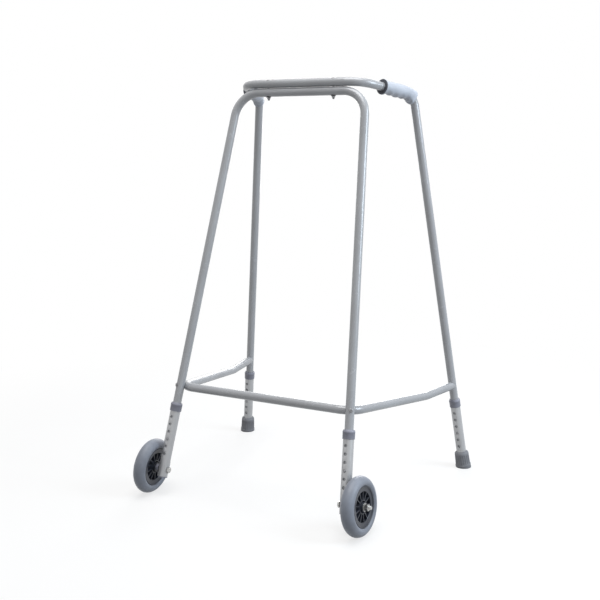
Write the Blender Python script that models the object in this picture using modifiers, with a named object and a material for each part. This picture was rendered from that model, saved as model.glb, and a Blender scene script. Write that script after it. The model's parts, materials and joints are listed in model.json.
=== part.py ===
import math

import bmesh
import bpy
from mathutils import Matrix, Vector

# Gap kept between pieces that touch
GAP = 0.0003

# Frame tube
TUBE_OD = 0.019
TUBE_WALL = 0.0015
TUBE_SIDES = 16
BEND_STEP = math.radians(18)

# Two rails at the top, one on the other
RAIL_Y = 0.0188
LOWER_RAIL_Z = 0.8982
LOWER_RAIL_CORNER_X = 0.1603
LOWER_RAIL_BEND = 0.058
UPPER_RAIL_CORNER_X = 0.1479
UPPER_RAIL_BEND = 0.055

# Handles run back from the upper rail, outwards and a little down
HANDLE_OUT = 0.0557
HANDLE_BACK = 0.1597
HANDLE_DROP = 0.0269
HANDLE_BEND = 0.036

# Where the leg axes meet the floor
FRONT_FOOT_X = 0.23484
FRONT_FOOT_Y = -0.2379
REAR_FOOT_X = 0.31091
REAR_FOOT_Y = 0.2660

# The front legs are turned about themselves, so the wheels toe in
FRONT_LEG_TURN = math.radians(2.2)

# Shape of the domed screw heads, as shares of their width and height
HEAD_CROWN = 0.3
HEAD_SHOULDER = 0.88
HEAD_EDGE = 0.35

# Bolts through both rails
RAIL_BOLT_X = 0.082
RAIL_BOLT_D = 0.005
RAIL_BOLT_HEAD_D = 0.010
RAIL_BOLT_HEAD_H = 0.0024
RAIL_BOLT_TAIL = 0.0080
RAIL_DIMPLE_DEPTH = 0.0028
RAIL_DIMPLE_FLOOR = 0.0020
RAIL_WASHER_D = 0.0112
RAIL_WASHER_T = 0.0010
RAIL_NUT_D = 0.0084
RAIL_NUT_H = 0.0032

# Lower brace, one tube round the front and both sides
BRACE_FRONT_Z = 0.2407
BRACE_CORNER_OUT = 0.0008
BRACE_CORNER_BACK = 0.0076
BRACE_BEND = 0.040
BRACE_KINK_X = 0.2645
BRACE_KINK_Y = 0.1291
BRACE_REAR_Z = 0.2069
BRACE_KINK_BEND = 0.080
BRACE_END_BACK_OFF = 0.0015

# Bolts through the front legs and the brace, screws through the rear legs
BRACE_BOLT_D = 0.005
BRACE_BOLT_HEAD_D = 0.0090
BRACE_BOLT_HEAD_H = 0.0018
BRACE_BOLT_TAIL = 0.0030
BRACE_NUT_D = 0.0090
BRACE_NUT_H = 0.0045
BRACE_SCREW_BITE = 0.014
BRACE_PLUG_LENGTH = 0.024

# Sliding sleeves on the legs, with their row of holes
SLEEVE_OD = 0.023
SLEEVE_WALL = 0.0016
SLEEVE_SIDES = 20
HOLE_D = 0.0070
HOLE_PITCH = 0.017
HOLE_COUNT = 6
HOLE_IN_USE = 3
HOLE_TO_SLEEVE_TOP = 0.0342

# Heights along the legs, from the floor
FRONT_PIN = 0.131
REAR_PIN = 0.091
REAR_SLEEVE_END = 0.008
TUBE_BELOW_PIN = 0.036

# How far each front sleeve reaches below its axle
SLEEVE_BELOW_AXLE = 0.0163

# Collar on top of each sleeve
COLLAR_OD = 0.0268
COLLAR_SKIRT = 0.0205
COLLAR_LIP = 0.0022
COLLAR_CHAMFER = 0.0012

# Snap button and the V spring behind it
BUTTON_D = 0.0060
BUTTON_PROUD = 0.0014
BUTTON_ROUND = 0.0012
SPRING_W = 0.0050
SPRING_T = 0.0006
SPRING_HEIGHT = 0.032
SPRING_TAIL = 0.006

# Plug in the lower end of each front sleeve
PLUG_FLANGE = 0.0018
PLUG_STEM = 0.0080
PLUG_BORE_D = 0.010

# Rubber foot
FOOT_TOP_D = 0.0270
FOOT_SHOULDER_D = 0.0335
FOOT_BASE_D = 0.0370
FOOT_HEIGHT = 0.041
FOOT_SHOULDER_DROP = 0.0065
FOOT_SHOULDER_ROUND = 0.0010
FOOT_BASE_BAND = 0.0075
FOOT_EDGE = 0.0009

# Wheel
WHEEL_D = 0.125
TYRE_W = 0.0305
TYRE_EDGE = 0.0024
HUB_D = 0.086
WHEEL_OUT = 0.03165
WHEEL_SIDES = 24
TREAD_STEPS = 6
HUB_HALF_W = 0.0113
HUB_RIM_T = 0.0040
HUB_WEB_T = 0.0040
HUB_RING_D = 0.034
HUB_RING_T = 0.0030
HUB_RING_HALF_W = 0.0090
HUB_BOSS_D = 0.0200
HUB_BOSS_HALF_W = 0.0125
SPOKES = 12
SLOT_W = 0.0060
SLOT_INNER_D = 0.043
SLOT_OUTER_D = 0.070

# Axle and what is on it
AXLE_D = 0.008
BUSH_WALL = 0.0020
AXLE_HEAD_D = 0.0145
AXLE_HEAD_H = 0.0038
AXLE_TAIL = 0.0062
AXLE_CHAMFER = 0.0008
AXLE_WASHER_D = 0.0170
AXLE_WASHER_T = 0.0015
AXLE_NUT_D = 0.0148
AXLE_NUT_H = 0.0078
AXLE_SPACER_D = 0.0140

# Handgrip on each handle
GRIP_START = 0.069
GRIP_FLANGE_D = 0.0345
GRIP_FLANGE_W = 0.0050
GRIP_D = 0.0292
GRIP_END_D = 0.0270
GRIP_FINGERS = 4
GRIP_FINGER_DEPTH = 0.0016
GRIP_HEEL = 0.0030
GRIP_BEND = 0.019
GRIP_HEEL_D = 0.0310
GRIP_SIDES = 16
GRIP_BEND_STEPS = 3

TUBE_R = TUBE_OD / 2
SLEEVE_R = SLEEVE_OD / 2
SLEEVE_BORE = SLEEVE_R - SLEEVE_WALL
UPPER_RAIL_Z = LOWER_RAIL_Z + TUBE_OD + GAP
SIDES = {"left": -1, "right": 1}

GREY_PAINT = ((0.55, 0.57, 0.61), 0.35, 0.6)
BARE_METAL = ((0.72, 0.73, 0.75), 0.3, 0.9)
ZINC = ((0.70, 0.70, 0.68), 0.3, 1.0)
SPRING_STEEL = ((0.45, 0.45, 0.47), 0.35, 1.0)
GREY_PLASTIC = ((0.24, 0.26, 0.31), 0.5, 0.0)
DARK_PLASTIC = ((0.05, 0.05, 0.055), 0.5, 0.0)
GREY_RUBBER = ((0.23, 0.25, 0.31), 0.7, 0.0)
GRIP_RUBBER = ((0.42, 0.45, 0.55), 0.6, 0.0)
BLACK_PLASTIC = ((0.012, 0.012, 0.014), 0.4, 0.0)


def clear_scene():
    for thing in list(bpy.data.objects):
        bpy.data.objects.remove(thing, do_unlink=True)


def new_collection(name):
    made = bpy.data.collections.new(name)
    bpy.context.scene.collection.children.link(made)
    return made


def finish_of(name, finish):
    colour, roughness, metallic = finish
    material = bpy.data.materials.new(name)
    material.use_nodes = True
    shader = material.node_tree.nodes["Principled BSDF"]
    shader.inputs["Base Color"].default_value = (*colour, 1)
    shader.inputs["Roughness"].default_value = roughness
    shader.inputs["Metallic"].default_value = metallic
    return material


def add_part(name, mesh, finish, parent=None):
    part = bpy.data.objects.new(name, mesh)
    walker.objects.link(part)
    part.parent = parent
    mesh.materials.clear()
    mesh.materials.append(finish_of(name, finish))
    mesh.shade_smooth()
    return part


def add_cutter(name, mesh, parent=None):
    cutter = bpy.data.objects.new(name, mesh)
    cutters.objects.link(cutter)
    cutter.parent = parent
    cutter.hide_render = True
    cutter.display_type = "WIRE"
    return cutter


def add_empty(name, matrix):
    empty = bpy.data.objects.new(name, None)
    walker.objects.link(empty)
    empty.matrix_world = matrix
    empty.empty_display_size = 0.02
    return empty


def boolean(part, tool, operation="DIFFERENCE"):
    step = part.modifiers.new(tool.name, "BOOLEAN")
    step.operation = operation
    step.solver = "EXACT"
    step.object = tool


def mesh_of(name, bm):
    mesh = bpy.data.meshes.new(name)
    bm.to_mesh(mesh)
    bm.free()
    return mesh


# A round bar along an axis of its parent, from one place to another
def bar_mesh(name, diameter, start, end, sides):
    run = end - start
    turn = Vector((0, 0, 1)).rotation_difference(run).to_matrix().to_4x4()
    bm = bmesh.new()
    bmesh.ops.create_cone(
        bm,
        cap_ends=True,
        segments=sides,
        radius1=diameter / 2,
        radius2=diameter / 2,
        depth=run.length,
        matrix=Matrix.Translation((start + end) / 2) @ turn,
    )
    return mesh_of(name, bm)


# Several meshes as one, for cutters that don't touch each other
def joined(name, meshes):
    bm = bmesh.new()
    for mesh in meshes:
        bm.from_mesh(mesh)
        bpy.data.meshes.remove(mesh)
    return mesh_of(name, bm)


# A profile of (radius, height) points turned about Z, closed by itself unless it ends on the axis
def add_turned(name, profile, steps, finish, parent):
    bm = bmesh.new()
    points = [bm.verts.new((radius, 0, height)) for radius, height in profile]
    for first, second in zip(points, points[1:]):
        bm.edges.new((first, second))
    if profile[0][0] > 0:
        bm.edges.new((points[-1], points[0]))
    part = add_part(name, mesh_of(name, bm), finish, parent)
    screw = part.modifiers.new("turn", "SCREW")
    screw.steps = steps
    screw.render_steps = steps
    screw.use_merge_vertices = True
    screw.merge_threshold = 0.00001
    screw.use_smooth_shade = True
    return part


# A screw's domed head on its seat, from the crown on the axis to the shank
def domed_head(head_d, head_h, shank_d, seat):
    return [
        (0, seat + head_h),
        (head_d * HEAD_CROWN, seat + head_h * HEAD_SHOULDER),
        (head_d / 2, seat + head_h * HEAD_EDGE),
        (head_d / 2, seat),
        (shank_d / 2, seat),
    ]


# A ring's section, which runs down its outer side
def ring_profile(inner_d, outer_d, low, high):
    return [
        (outer_d / 2, high),
        (outer_d / 2, low),
        (inner_d / 2, low),
        (inner_d / 2, high),
    ]


# A six-sided nut, whose bore clears the screw at its flats too
def add_nut(name, screw_d, width, low, high, parent):
    bore = (screw_d + 2 * GAP) / math.cos(math.pi / 6)
    add_turned(name, ring_profile(bore, width, low, high), 6, ZINC, parent)


# The arc that rounds one corner of a path: its centre and its points
def bend(before, corner, after, radius):
    back = (before - corner).normalized()
    on = (after - corner).normalized()
    half = back.angle(on) / 2
    centre = corner + (back + on).normalized() * (radius / math.sin(half))
    start = corner + back * (radius / math.tan(half)) - centre
    end = corner + on * (radius / math.tan(half)) - centre
    axis = start.cross(end).normalized()
    turn = math.pi - 2 * half
    steps = max(2, round(turn / BEND_STEP))
    points = [
        centre + Matrix.Rotation(turn * step / steps, 3, axis) @ start
        for step in range(steps + 1)
    ]
    return centre, points


def bent_path(corners, radii):
    path = [corners[0]]
    for before, corner, after, radius in zip(corners, corners[1:], corners[2:], radii):
        path += bend(before, corner, after, radius)[1]
    path.append(corners[-1])
    return path


# A bevelled curve as a welded mesh, in world coordinates
def swept_mesh(name, path, diameter, sides, caps, swell=None):
    curve = bpy.data.curves.new(name, "CURVE")
    curve.dimensions = "3D"
    curve.bevel_depth = diameter / 2
    curve.bevel_resolution = sides // 2 - 2
    curve.use_fill_caps = caps
    spline = curve.splines.new("POLY")
    spline.points.add(len(path) - 1)
    for index, place in enumerate(path):
        spline.points[index].co = (*place, 1)
        spline.points[index].radius = swell[index] if swell else 1
    holder = bpy.data.objects.new(name, curve)
    walker.objects.link(holder)
    bpy.context.view_layer.update()
    seen = holder.evaluated_get(bpy.context.evaluated_depsgraph_get())
    mesh = bpy.data.meshes.new_from_object(seen)
    bpy.data.objects.remove(holder)
    bpy.data.curves.remove(curve)
    bm = bmesh.new()
    bm.from_mesh(mesh)
    bmesh.ops.remove_doubles(bm, verts=bm.verts, dist=0.00001)
    bm.to_mesh(mesh)
    bm.free()
    return mesh


def add_tube(name, path, finish):
    tube = add_part(name, swept_mesh(name, path, TUBE_OD, TUBE_SIDES, False), finish)
    wall = tube.modifiers.new("wall", "SOLIDIFY")
    wall.thickness = TUBE_WALL
    wall.offset = -1
    wall.use_even_offset = True
    return tube


# A leg's frame: Z up along the leg, Y backwards, X towards the walker's right
def leg_matrix(foot, top):
    up = (top - foot).normalized()
    back = (Vector((0, 1, 0)) - up * up.y).normalized()
    across = back.cross(up)
    return Matrix.Translation(foot) @ Matrix((across, back, up)).transposed().to_4x4()


def front_corner(side):
    return Vector((side * LOWER_RAIL_CORNER_X, RAIL_Y, LOWER_RAIL_Z))


def handle_corner(side):
    return Vector((side * UPPER_RAIL_CORNER_X, RAIL_Y, UPPER_RAIL_Z))


def rear_corner(side):
    return handle_corner(side) + Vector((side * HANDLE_OUT, HANDLE_BACK, -HANDLE_DROP))


def front_leg(side):
    leg = leg_matrix(Vector((side * FRONT_FOOT_X, FRONT_FOOT_Y, 0)), front_corner(side))
    return leg @ Matrix.Rotation(-side * FRONT_LEG_TURN, 4, "Z")


def rear_leg(side):
    return leg_matrix(Vector((side * REAR_FOOT_X, REAR_FOOT_Y, 0)), rear_corner(side))


def along(leg, distance):
    return leg @ Vector((0, 0, distance))


# The point of a leg's axis at a height above the floor
def at_height(leg, height):
    return along(leg, height / leg.col[2].z)


def front_frame_tube():
    path = bent_path(
        [
            along(front_leg(-1), FRONT_PIN - TUBE_BELOW_PIN),
            front_corner(-1),
            front_corner(1),
            along(front_leg(1), FRONT_PIN - TUBE_BELOW_PIN),
        ],
        [LOWER_RAIL_BEND, LOWER_RAIL_BEND],
    )
    return add_tube("front_frame_tube", path, GREY_PAINT)


def handle_frame_tube():
    path = bent_path(
        [
            along(rear_leg(-1), REAR_PIN - TUBE_BELOW_PIN),
            rear_corner(-1),
            handle_corner(-1),
            handle_corner(1),
            rear_corner(1),
            along(rear_leg(1), REAR_PIN - TUBE_BELOW_PIN),
        ],
        [HANDLE_BEND, UPPER_RAIL_BEND, UPPER_RAIL_BEND, HANDLE_BEND],
    )
    return add_tube("handle_frame_tube", path, GREY_PAINT)


# The brace's corners on one side, from the rear leg to the front
def brace_corners(side):
    rear = at_height(rear_leg(side), BRACE_REAR_Z)
    kink = Vector((side * BRACE_KINK_X, BRACE_KINK_Y, BRACE_REAR_Z))
    end = rear + (kink - rear).normalized() * BRACE_END_BACK_OFF
    shift = Vector((side * BRACE_CORNER_OUT, BRACE_CORNER_BACK, 0))
    return [end, kink, at_height(front_leg(side), BRACE_FRONT_Z) + shift]


def lower_brace_tube():
    corners = brace_corners(-1) + brace_corners(1)[::-1]
    path = bent_path(corners, [BRACE_KINK_BEND, BRACE_BEND, BRACE_BEND, BRACE_KINK_BEND])
    return add_tube("lower_brace_tube", path, GREY_PAINT)


# A leg as a cutter, a gap larger than the tube
def leg_cutter(name, leg, height):
    middle = height / leg.col[2].z
    reach = 3 * TUBE_OD
    start = Vector((0, 0, middle - reach))
    end = Vector((0, 0, middle + reach))
    mesh = bar_mesh(name, TUBE_OD + 2 * GAP, start, end, 2 * TUBE_SIDES)
    return add_cutter(name, mesh, add_empty(name + "_axis", leg))


# A frame at a place with its Z along a direction
def aimed(place, direction):
    turn = Vector((0, 0, 1)).rotation_difference(direction).to_matrix().to_4x4()
    return Matrix.Translation(place) @ turn


# The part of a direction that is square to a leg
def square_to(leg, direction):
    up = leg.col[2].xyz
    return direction - up * direction.dot(up)


# A front leg's bolt, square to the leg, crosses its axis and the middle of the brace's bend
def brace_bolt_frame(side):
    leg = front_leg(side)
    crossing = at_height(leg, BRACE_FRONT_Z)
    _, kink, corner = brace_corners(side)
    inwards = corner - Vector((side * BRACE_BEND, 0, 0))
    centre = bend(kink, corner, inwards, BRACE_BEND)[0]
    middle = centre + (crossing - centre).normalized() * BRACE_BEND
    reach = square_to(leg, crossing - middle)
    return aimed(middle + reach, reach), reach.length


def add_brace_bolts(label, side, front_tube, brace):
    matrix, spread = brace_bolt_frame(side)
    axis = add_empty(label + "_brace_bolt_axis", matrix)
    outside = TUBE_R + GAP
    inside = -(spread + TUBE_R + 2 * GAP)
    hole = bar_mesh(
        label + "_brace_bolt_hole",
        BRACE_BOLT_D + 2 * GAP,
        Vector((0, 0, inside - TUBE_OD)),
        Vector((0, 0, outside + TUBE_OD)),
        12,
    )
    cutter = add_cutter(label + "_brace_bolt_hole", hole, axis)
    boolean(front_tube, cutter)
    boolean(brace, cutter)
    tip = inside - BRACE_NUT_H - BRACE_BOLT_TAIL
    bolt = domed_head(BRACE_BOLT_HEAD_D, BRACE_BOLT_HEAD_H, BRACE_BOLT_D, outside)
    bolt += [(BRACE_BOLT_D / 2, tip), (0, tip)]
    add_turned(label + "_brace_front_bolt", bolt, 12, ZINC, axis)
    name = label + "_brace_front_nut"
    add_nut(name, BRACE_BOLT_D, BRACE_NUT_D, inside - BRACE_NUT_H, inside, axis)


def add_brace_end(label, side, handle_tube, brace):
    kink = brace_corners(side)[1]
    leg = at_height(rear_leg(side), BRACE_REAR_Z)
    end_axis = add_empty(label + "_brace_end_axis", aimed(leg, leg - kink))
    out = square_to(rear_leg(side), leg - kink)
    axis = add_empty(label + "_brace_screw_axis", aimed(leg, out))
    outside = TUBE_R + GAP
    tip = -(TUBE_R + GAP + BRACE_SCREW_BITE)
    plug_end = -(TUBE_R + BRACE_PLUG_LENGTH)
    hole = bar_mesh(
        label + "_brace_screw_hole",
        BRACE_BOLT_D + 2 * GAP,
        Vector((0, 0, tip - GAP)),
        Vector((0, 0, outside + TUBE_OD)),
        12,
    )
    cutter = add_cutter(label + "_brace_screw_hole", hole, axis)
    boolean(handle_tube, cutter)
    screw = domed_head(BRACE_BOLT_HEAD_D, BRACE_BOLT_HEAD_H, BRACE_BOLT_D, outside)
    screw += [(BRACE_BOLT_D / 2, tip + BRACE_BOLT_D / 2), (0, tip)]
    add_turned(label + "_brace_rear_screw", screw, 12, ZINC, axis)
    bore = (TUBE_R - TUBE_WALL) * 2 * math.cos(math.pi / TUBE_SIDES)
    plug_mesh = bar_mesh(
        label + "_brace_end_plug",
        bore - 2 * GAP,
        Vector((0, 0, plug_end)),
        Vector((0, 0, -BRACE_END_BACK_OFF)),
        TUBE_SIDES,
    )
    plug = add_part(label + "_brace_end_plug", plug_mesh, DARK_PLASTIC, end_axis)
    cope = leg_cutter(label + "_rear_leg_cope", rear_leg(side), BRACE_REAR_Z)
    boolean(brace, cope)
    boolean(plug, cope)
    boolean(plug, cutter)


# Bolt through both rails: its head lies in a dimple, its nut under the lower rail
def add_rail_bolts(label, side, front_tube, handle_tube):
    place = Vector((side * RAIL_BOLT_X, RAIL_Y, UPPER_RAIL_Z))
    axis = add_empty(label + "_rail_bolt_axis", Matrix.Translation(place))
    floor = TUBE_R - RAIL_DIMPLE_DEPTH
    rail_under = -(TUBE_OD + GAP + TUBE_R)
    washer_under = rail_under - GAP - RAIL_WASHER_T
    nut_top = washer_under - GAP
    tip = rail_under - RAIL_BOLT_TAIL
    dimple = bar_mesh(
        label + "_rail_dimple_floor",
        RAIL_BOLT_HEAD_D + 2 * GAP + 2 * TUBE_WALL,
        Vector((0, 0, floor - RAIL_DIMPLE_FLOOR)),
        Vector((0, 0, TUBE_R - TUBE_WALL / 2)),
        12,
    )
    boolean(handle_tube, add_cutter(label + "_rail_dimple_floor", dimple, axis), "UNION")
    recess = bar_mesh(
        label + "_rail_dimple",
        RAIL_BOLT_HEAD_D + 2 * GAP,
        Vector((0, 0, floor)),
        Vector((0, 0, TUBE_OD)),
        12,
    )
    boolean(handle_tube, add_cutter(label + "_rail_dimple", recess, axis))
    hole = bar_mesh(
        label + "_rail_bolt_hole",
        RAIL_BOLT_D + 2 * GAP,
        Vector((0, 0, rail_under - TUBE_OD)),
        Vector((0, 0, TUBE_OD)),
        12,
    )
    cutter = add_cutter(label + "_rail_bolt_hole", hole, axis)
    boolean(handle_tube, cutter)
    boolean(front_tube, cutter)
    bolt = domed_head(RAIL_BOLT_HEAD_D, RAIL_BOLT_HEAD_H, RAIL_BOLT_D, floor + GAP)
    bolt += [(RAIL_BOLT_D / 2, tip), (0, tip)]
    add_turned(label + "_rail_bolt", bolt, 12, ZINC, axis)
    washer_top = rail_under + TUBE_R / 2
    washer = add_turned(
        label + "_rail_washer",
        ring_profile(RAIL_BOLT_D + 2 * GAP, RAIL_WASHER_D, washer_under, washer_top),
        16,
        DARK_PLASTIC,
        axis,
    )
    rail_mesh = bar_mesh(
        label + "_rail_saddle",
        TUBE_OD + 2 * GAP,
        Vector((-TUBE_OD, 0, -(TUBE_OD + GAP))),
        Vector((TUBE_OD, 0, -(TUBE_OD + GAP))),
        2 * TUBE_SIDES,
    )
    boolean(washer, add_cutter(label + "_rail_saddle", rail_mesh, axis))
    name = label + "_rail_nut"
    add_nut(name, RAIL_BOLT_D, RAIL_NUT_D, nut_top - RAIL_NUT_H, nut_top, axis)


# The holes of one sleeve, bored through its front wall
def hole_cutter(name, first, count, axis):
    holes = [
        bar_mesh(
            name,
            HOLE_D,
            Vector((0, -(SLEEVE_R + SLEEVE_OD), first + HOLE_PITCH * index)),
            Vector((0, -SLEEVE_BORE / 2, first + HOLE_PITCH * index)),
            10,
        )
        for index in range(count)
    ]
    return add_cutter(name, joined(name, holes), axis)


# A snap button and its spring, in the leg tube at the height of the hole in use
def add_snap_button(label, height, tube, axis):
    boolean(tube, hole_cutter(label + "_button_hole", height, 1, axis))
    apothem = (TUBE_R - TUBE_WALL) * math.cos(math.pi / TUBE_SIDES)
    reach = math.sqrt(apothem**2 - (SPRING_W / 2) ** 2) - GAP - SPRING_T / 2
    bm = bmesh.new()
    places = [
        (-reach, height - SPRING_TAIL),
        (-reach, height + SPRING_TAIL / 2),
        (-SPRING_T * 2, height + SPRING_HEIGHT),
        (SPRING_T * 2, height + SPRING_HEIGHT),
        (reach, height + SPRING_TAIL / 2),
        (reach, height - SPRING_TAIL),
    ]
    line = [bm.verts.new((-SPRING_W / 2, y, z)) for y, z in places]
    for first, second in zip(line, line[1:]):
        bm.edges.new((first, second))
    widened = bmesh.ops.extrude_edge_only(bm, edges=bm.edges[:])["geom"]
    moved = [part for part in widened if isinstance(part, bmesh.types.BMVert)]
    bmesh.ops.translate(bm, verts=moved, vec=(SPRING_W, 0, 0))
    bmesh.ops.recalc_face_normals(bm, faces=bm.faces[:])
    name = label + "_button_spring"
    spring = add_part(name, mesh_of(name, bm), SPRING_STEEL, axis)
    spring.data.flip_normals()
    sheet = spring.modifiers.new("sheet", "SOLIDIFY")
    sheet.thickness = SPRING_T
    sheet.offset = 0
    sheet.use_even_offset = True
    base = reach + SPRING_T / 2 + GAP
    tip = SLEEVE_R + BUTTON_PROUD
    turn = Matrix.Rotation(math.pi / 2, 4, "X")
    matrix = axis.matrix_world @ Matrix.Translation((0, 0, height)) @ turn
    profile = [
        (0, tip),
        (BUTTON_D / 2 - BUTTON_ROUND, tip - BUTTON_ROUND * 0.1),
        (BUTTON_D / 2, tip - BUTTON_ROUND),
        (BUTTON_D / 2, base),
        (0, base),
    ]
    name = label + "_snap_button"
    add_turned(name, profile, 12, ZINC, add_empty(name + "_axis", matrix))


def add_sleeve(label, pin, end, tube, axis):
    top = pin + HOLE_IN_USE * HOLE_PITCH + HOLE_TO_SLEEVE_TOP
    section = ring_profile(2 * SLEEVE_BORE, SLEEVE_OD, end, top)
    sleeve = add_turned(label + "_leg_extension", section, SLEEVE_SIDES, BARE_METAL, axis)
    lowest = pin - (HOLE_COUNT - 1 - HOLE_IN_USE) * HOLE_PITCH
    boolean(sleeve, hole_cutter(label + "_extension_holes", lowest, HOLE_COUNT, axis))
    lip = top + GAP + COLLAR_LIP
    skirt = top - COLLAR_SKIRT
    inner = SLEEVE_R + GAP
    collar = [
        (COLLAR_OD / 2 - COLLAR_CHAMFER, lip),
        (COLLAR_OD / 2, lip - COLLAR_CHAMFER),
        (COLLAR_OD / 2, skirt),
        (inner, skirt),
        (inner, top + GAP),
        (TUBE_R + GAP, top + GAP),
        (TUBE_R + GAP, lip),
    ]
    add_turned(label + "_extension_collar", collar, SLEEVE_SIDES, GREY_PLASTIC, axis)
    add_snap_button(label, pin, tube, axis)
    return sleeve


def add_rear_foot(label, axis):
    inner = SLEEVE_R + GAP
    seat = REAR_SLEEVE_END - GAP
    shoulder = FOOT_HEIGHT - FOOT_SHOULDER_DROP
    below = -FOOT_BASE_D / 2
    profile = [
        (0, seat),
        (inner, seat),
        (inner, FOOT_HEIGHT),
        (FOOT_TOP_D / 2, FOOT_HEIGHT),
        ((FOOT_TOP_D + FOOT_SHOULDER_D) / 4 + FOOT_SHOULDER_ROUND, (FOOT_HEIGHT + shoulder) / 2),
        (FOOT_SHOULDER_D / 2, shoulder),
        (FOOT_BASE_D / 2 - FOOT_EDGE, FOOT_BASE_BAND + FOOT_EDGE),
        (FOOT_BASE_D / 2, FOOT_BASE_BAND),
        (FOOT_BASE_D / 2, below),
        (0, below),
    ]
    foot = add_turned(label + "_foot", profile, SLEEVE_SIDES, GREY_RUBBER, axis)
    bm = bmesh.new()
    size = 4 * FOOT_BASE_D
    middle = at_height(axis.matrix_world, 0) - Vector((0, 0, size / 2))
    bmesh.ops.create_cube(bm, size=size, matrix=Matrix.Translation(middle))
    boolean(foot, add_cutter(label + "_foot_floor", mesh_of(label + "_foot_floor", bm)))


# How far up a front leg the axle crosses, so that the wheel stands on the floor
def axle_height(leg, side):
    crown = TYRE_W / 2
    lean = leg.col[0].z * side
    centre = (WHEEL_D / 2 - crown) * math.sqrt(1 - lean**2) + crown
    return (centre - WHEEL_OUT * lean) / leg.col[2].z


# A wheel's frame: Z out along the axle, X towards the floor, middle in the tyre
def wheel_matrix(side):
    leg = front_leg(side)
    out = leg.col[0].xyz * side
    up = (Vector((0, 0, 1)) - out * out.z).normalized()
    centre = leg @ Vector((side * WHEEL_OUT, 0, axle_height(leg, side)))
    turn = Matrix((-up, out.cross(-up), out)).transposed().to_4x4()
    return Matrix.Translation(centre) @ turn


def add_tyre(label, axis):
    bead = HUB_D / 2 + GAP
    crown = TYRE_W / 2
    middle = WHEEL_D / 2 - crown
    profile = [
        (
            middle + crown * math.sin(math.pi * step / TREAD_STEPS),
            crown * math.cos(math.pi * step / TREAD_STEPS),
        )
        for step in range(TREAD_STEPS + 1)
    ]
    seat = HUB_HALF_W + GAP
    profile += [
        (bead + TYRE_EDGE, -seat - GAP),
        (bead, -seat),
        (bead, seat),
        (bead + TYRE_EDGE, seat + GAP),
    ]
    add_turned(label + "_tyre", profile, WHEEL_SIDES, GREY_RUBBER, axis)


def add_hub(label, axis):
    rim_in = HUB_D / 2 - HUB_RIM_T
    ring_out = HUB_RING_D / 2
    ring_in = ring_out - HUB_RING_T
    boss = HUB_BOSS_D / 2
    web = HUB_WEB_T / 2
    bore = AXLE_D / 2 + 2 * GAP + BUSH_WALL
    half = [
        (HUB_D / 2, HUB_HALF_W),
        (rim_in, HUB_HALF_W),
        (rim_in, web),
        (ring_out, web),
        (ring_out, HUB_RING_HALF_W),
        (ring_in, HUB_RING_HALF_W),
        (ring_in, web),
        (boss, web),
        (boss, HUB_BOSS_HALF_W),
        (bore, HUB_BOSS_HALF_W),
    ]
    profile = [(radius, -height) for radius, height in half]
    profile += half[::-1]
    hub = add_turned(label + "_wheel_hub", profile, WHEEL_SIDES, BLACK_PLASTIC, axis)
    slots = []
    for index in range(SPOKES):
        bm = bmesh.new()
        bmesh.ops.create_cube(bm, size=1)
        length = (SLOT_OUTER_D - SLOT_INNER_D) / 2
        bmesh.ops.scale(bm, vec=(length, SLOT_W, 4 * HUB_WEB_T), verts=bm.verts)
        place = Vector(((SLOT_OUTER_D + SLOT_INNER_D) / 4, 0, 0))
        turn = Matrix.Rotation(2 * math.pi * (index + 0.5) / SPOKES, 4, "Z")
        bmesh.ops.transform(bm, matrix=turn @ Matrix.Translation(place), verts=bm.verts)
        slots.append(mesh_of("slot", bm))
    boolean(hub, add_cutter(label + "_hub_slots", joined(label + "_hub_slots", slots), axis))
    bush_bore = AXLE_D + 2 * GAP
    bush_end = HUB_BOSS_HALF_W
    bush = ring_profile(bush_bore, bush_bore + 2 * BUSH_WALL, -bush_end, bush_end)
    add_turned(label + "_hub_bush", bush, 16, BARE_METAL, axis)


# The axle bolt and its fixed pieces, which belong to the sleeve
def add_axle(label, sleeve, axis, leg_axis, side):
    leg_side = -WHEEL_OUT + SLEEVE_R + GAP
    head_seat = -WHEEL_OUT - SLEEVE_R - GAP
    hub_end = HUB_BOSS_HALF_W + GAP
    nut_seat = hub_end + AXLE_WASHER_T + GAP
    tip = nut_seat + AXLE_NUT_H + AXLE_TAIL
    bore = AXLE_D + 2 * GAP
    bolt = [
        (0, tip),
        (AXLE_D / 2 - AXLE_CHAMFER, tip),
        (AXLE_D / 2, tip - AXLE_CHAMFER),
        (AXLE_D / 2, head_seat),
        (AXLE_HEAD_D / 2, head_seat),
        (AXLE_HEAD_D / 2, head_seat - AXLE_HEAD_H + AXLE_CHAMFER),
        (AXLE_HEAD_D / 2 - AXLE_CHAMFER, head_seat - AXLE_HEAD_H),
        (0, head_seat - AXLE_HEAD_H),
    ]
    add_turned(label + "_axle_bolt", bolt, 12, ZINC, axis)
    spacer = ring_profile(bore, AXLE_SPACER_D, leg_side, -hub_end)
    add_turned(label + "_axle_spacer", spacer, 16, GREY_PLASTIC, axis)
    washer = ring_profile(bore, AXLE_WASHER_D, hub_end, hub_end + AXLE_WASHER_T)
    add_turned(label + "_axle_washer", washer, 16, ZINC, axis)
    name = label + "_axle_nut"
    add_nut(name, AXLE_D, AXLE_NUT_D, nut_seat, nut_seat + AXLE_NUT_H, axis)
    height = axle_height(leg_axis.matrix_world, side)
    hole = bar_mesh(
        label + "_axle_hole",
        bore,
        Vector((-SLEEVE_OD, 0, height)),
        Vector((SLEEVE_OD, 0, height)),
        16,
    )
    boolean(sleeve, add_cutter(label + "_axle_hole", hole, leg_axis))


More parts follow.
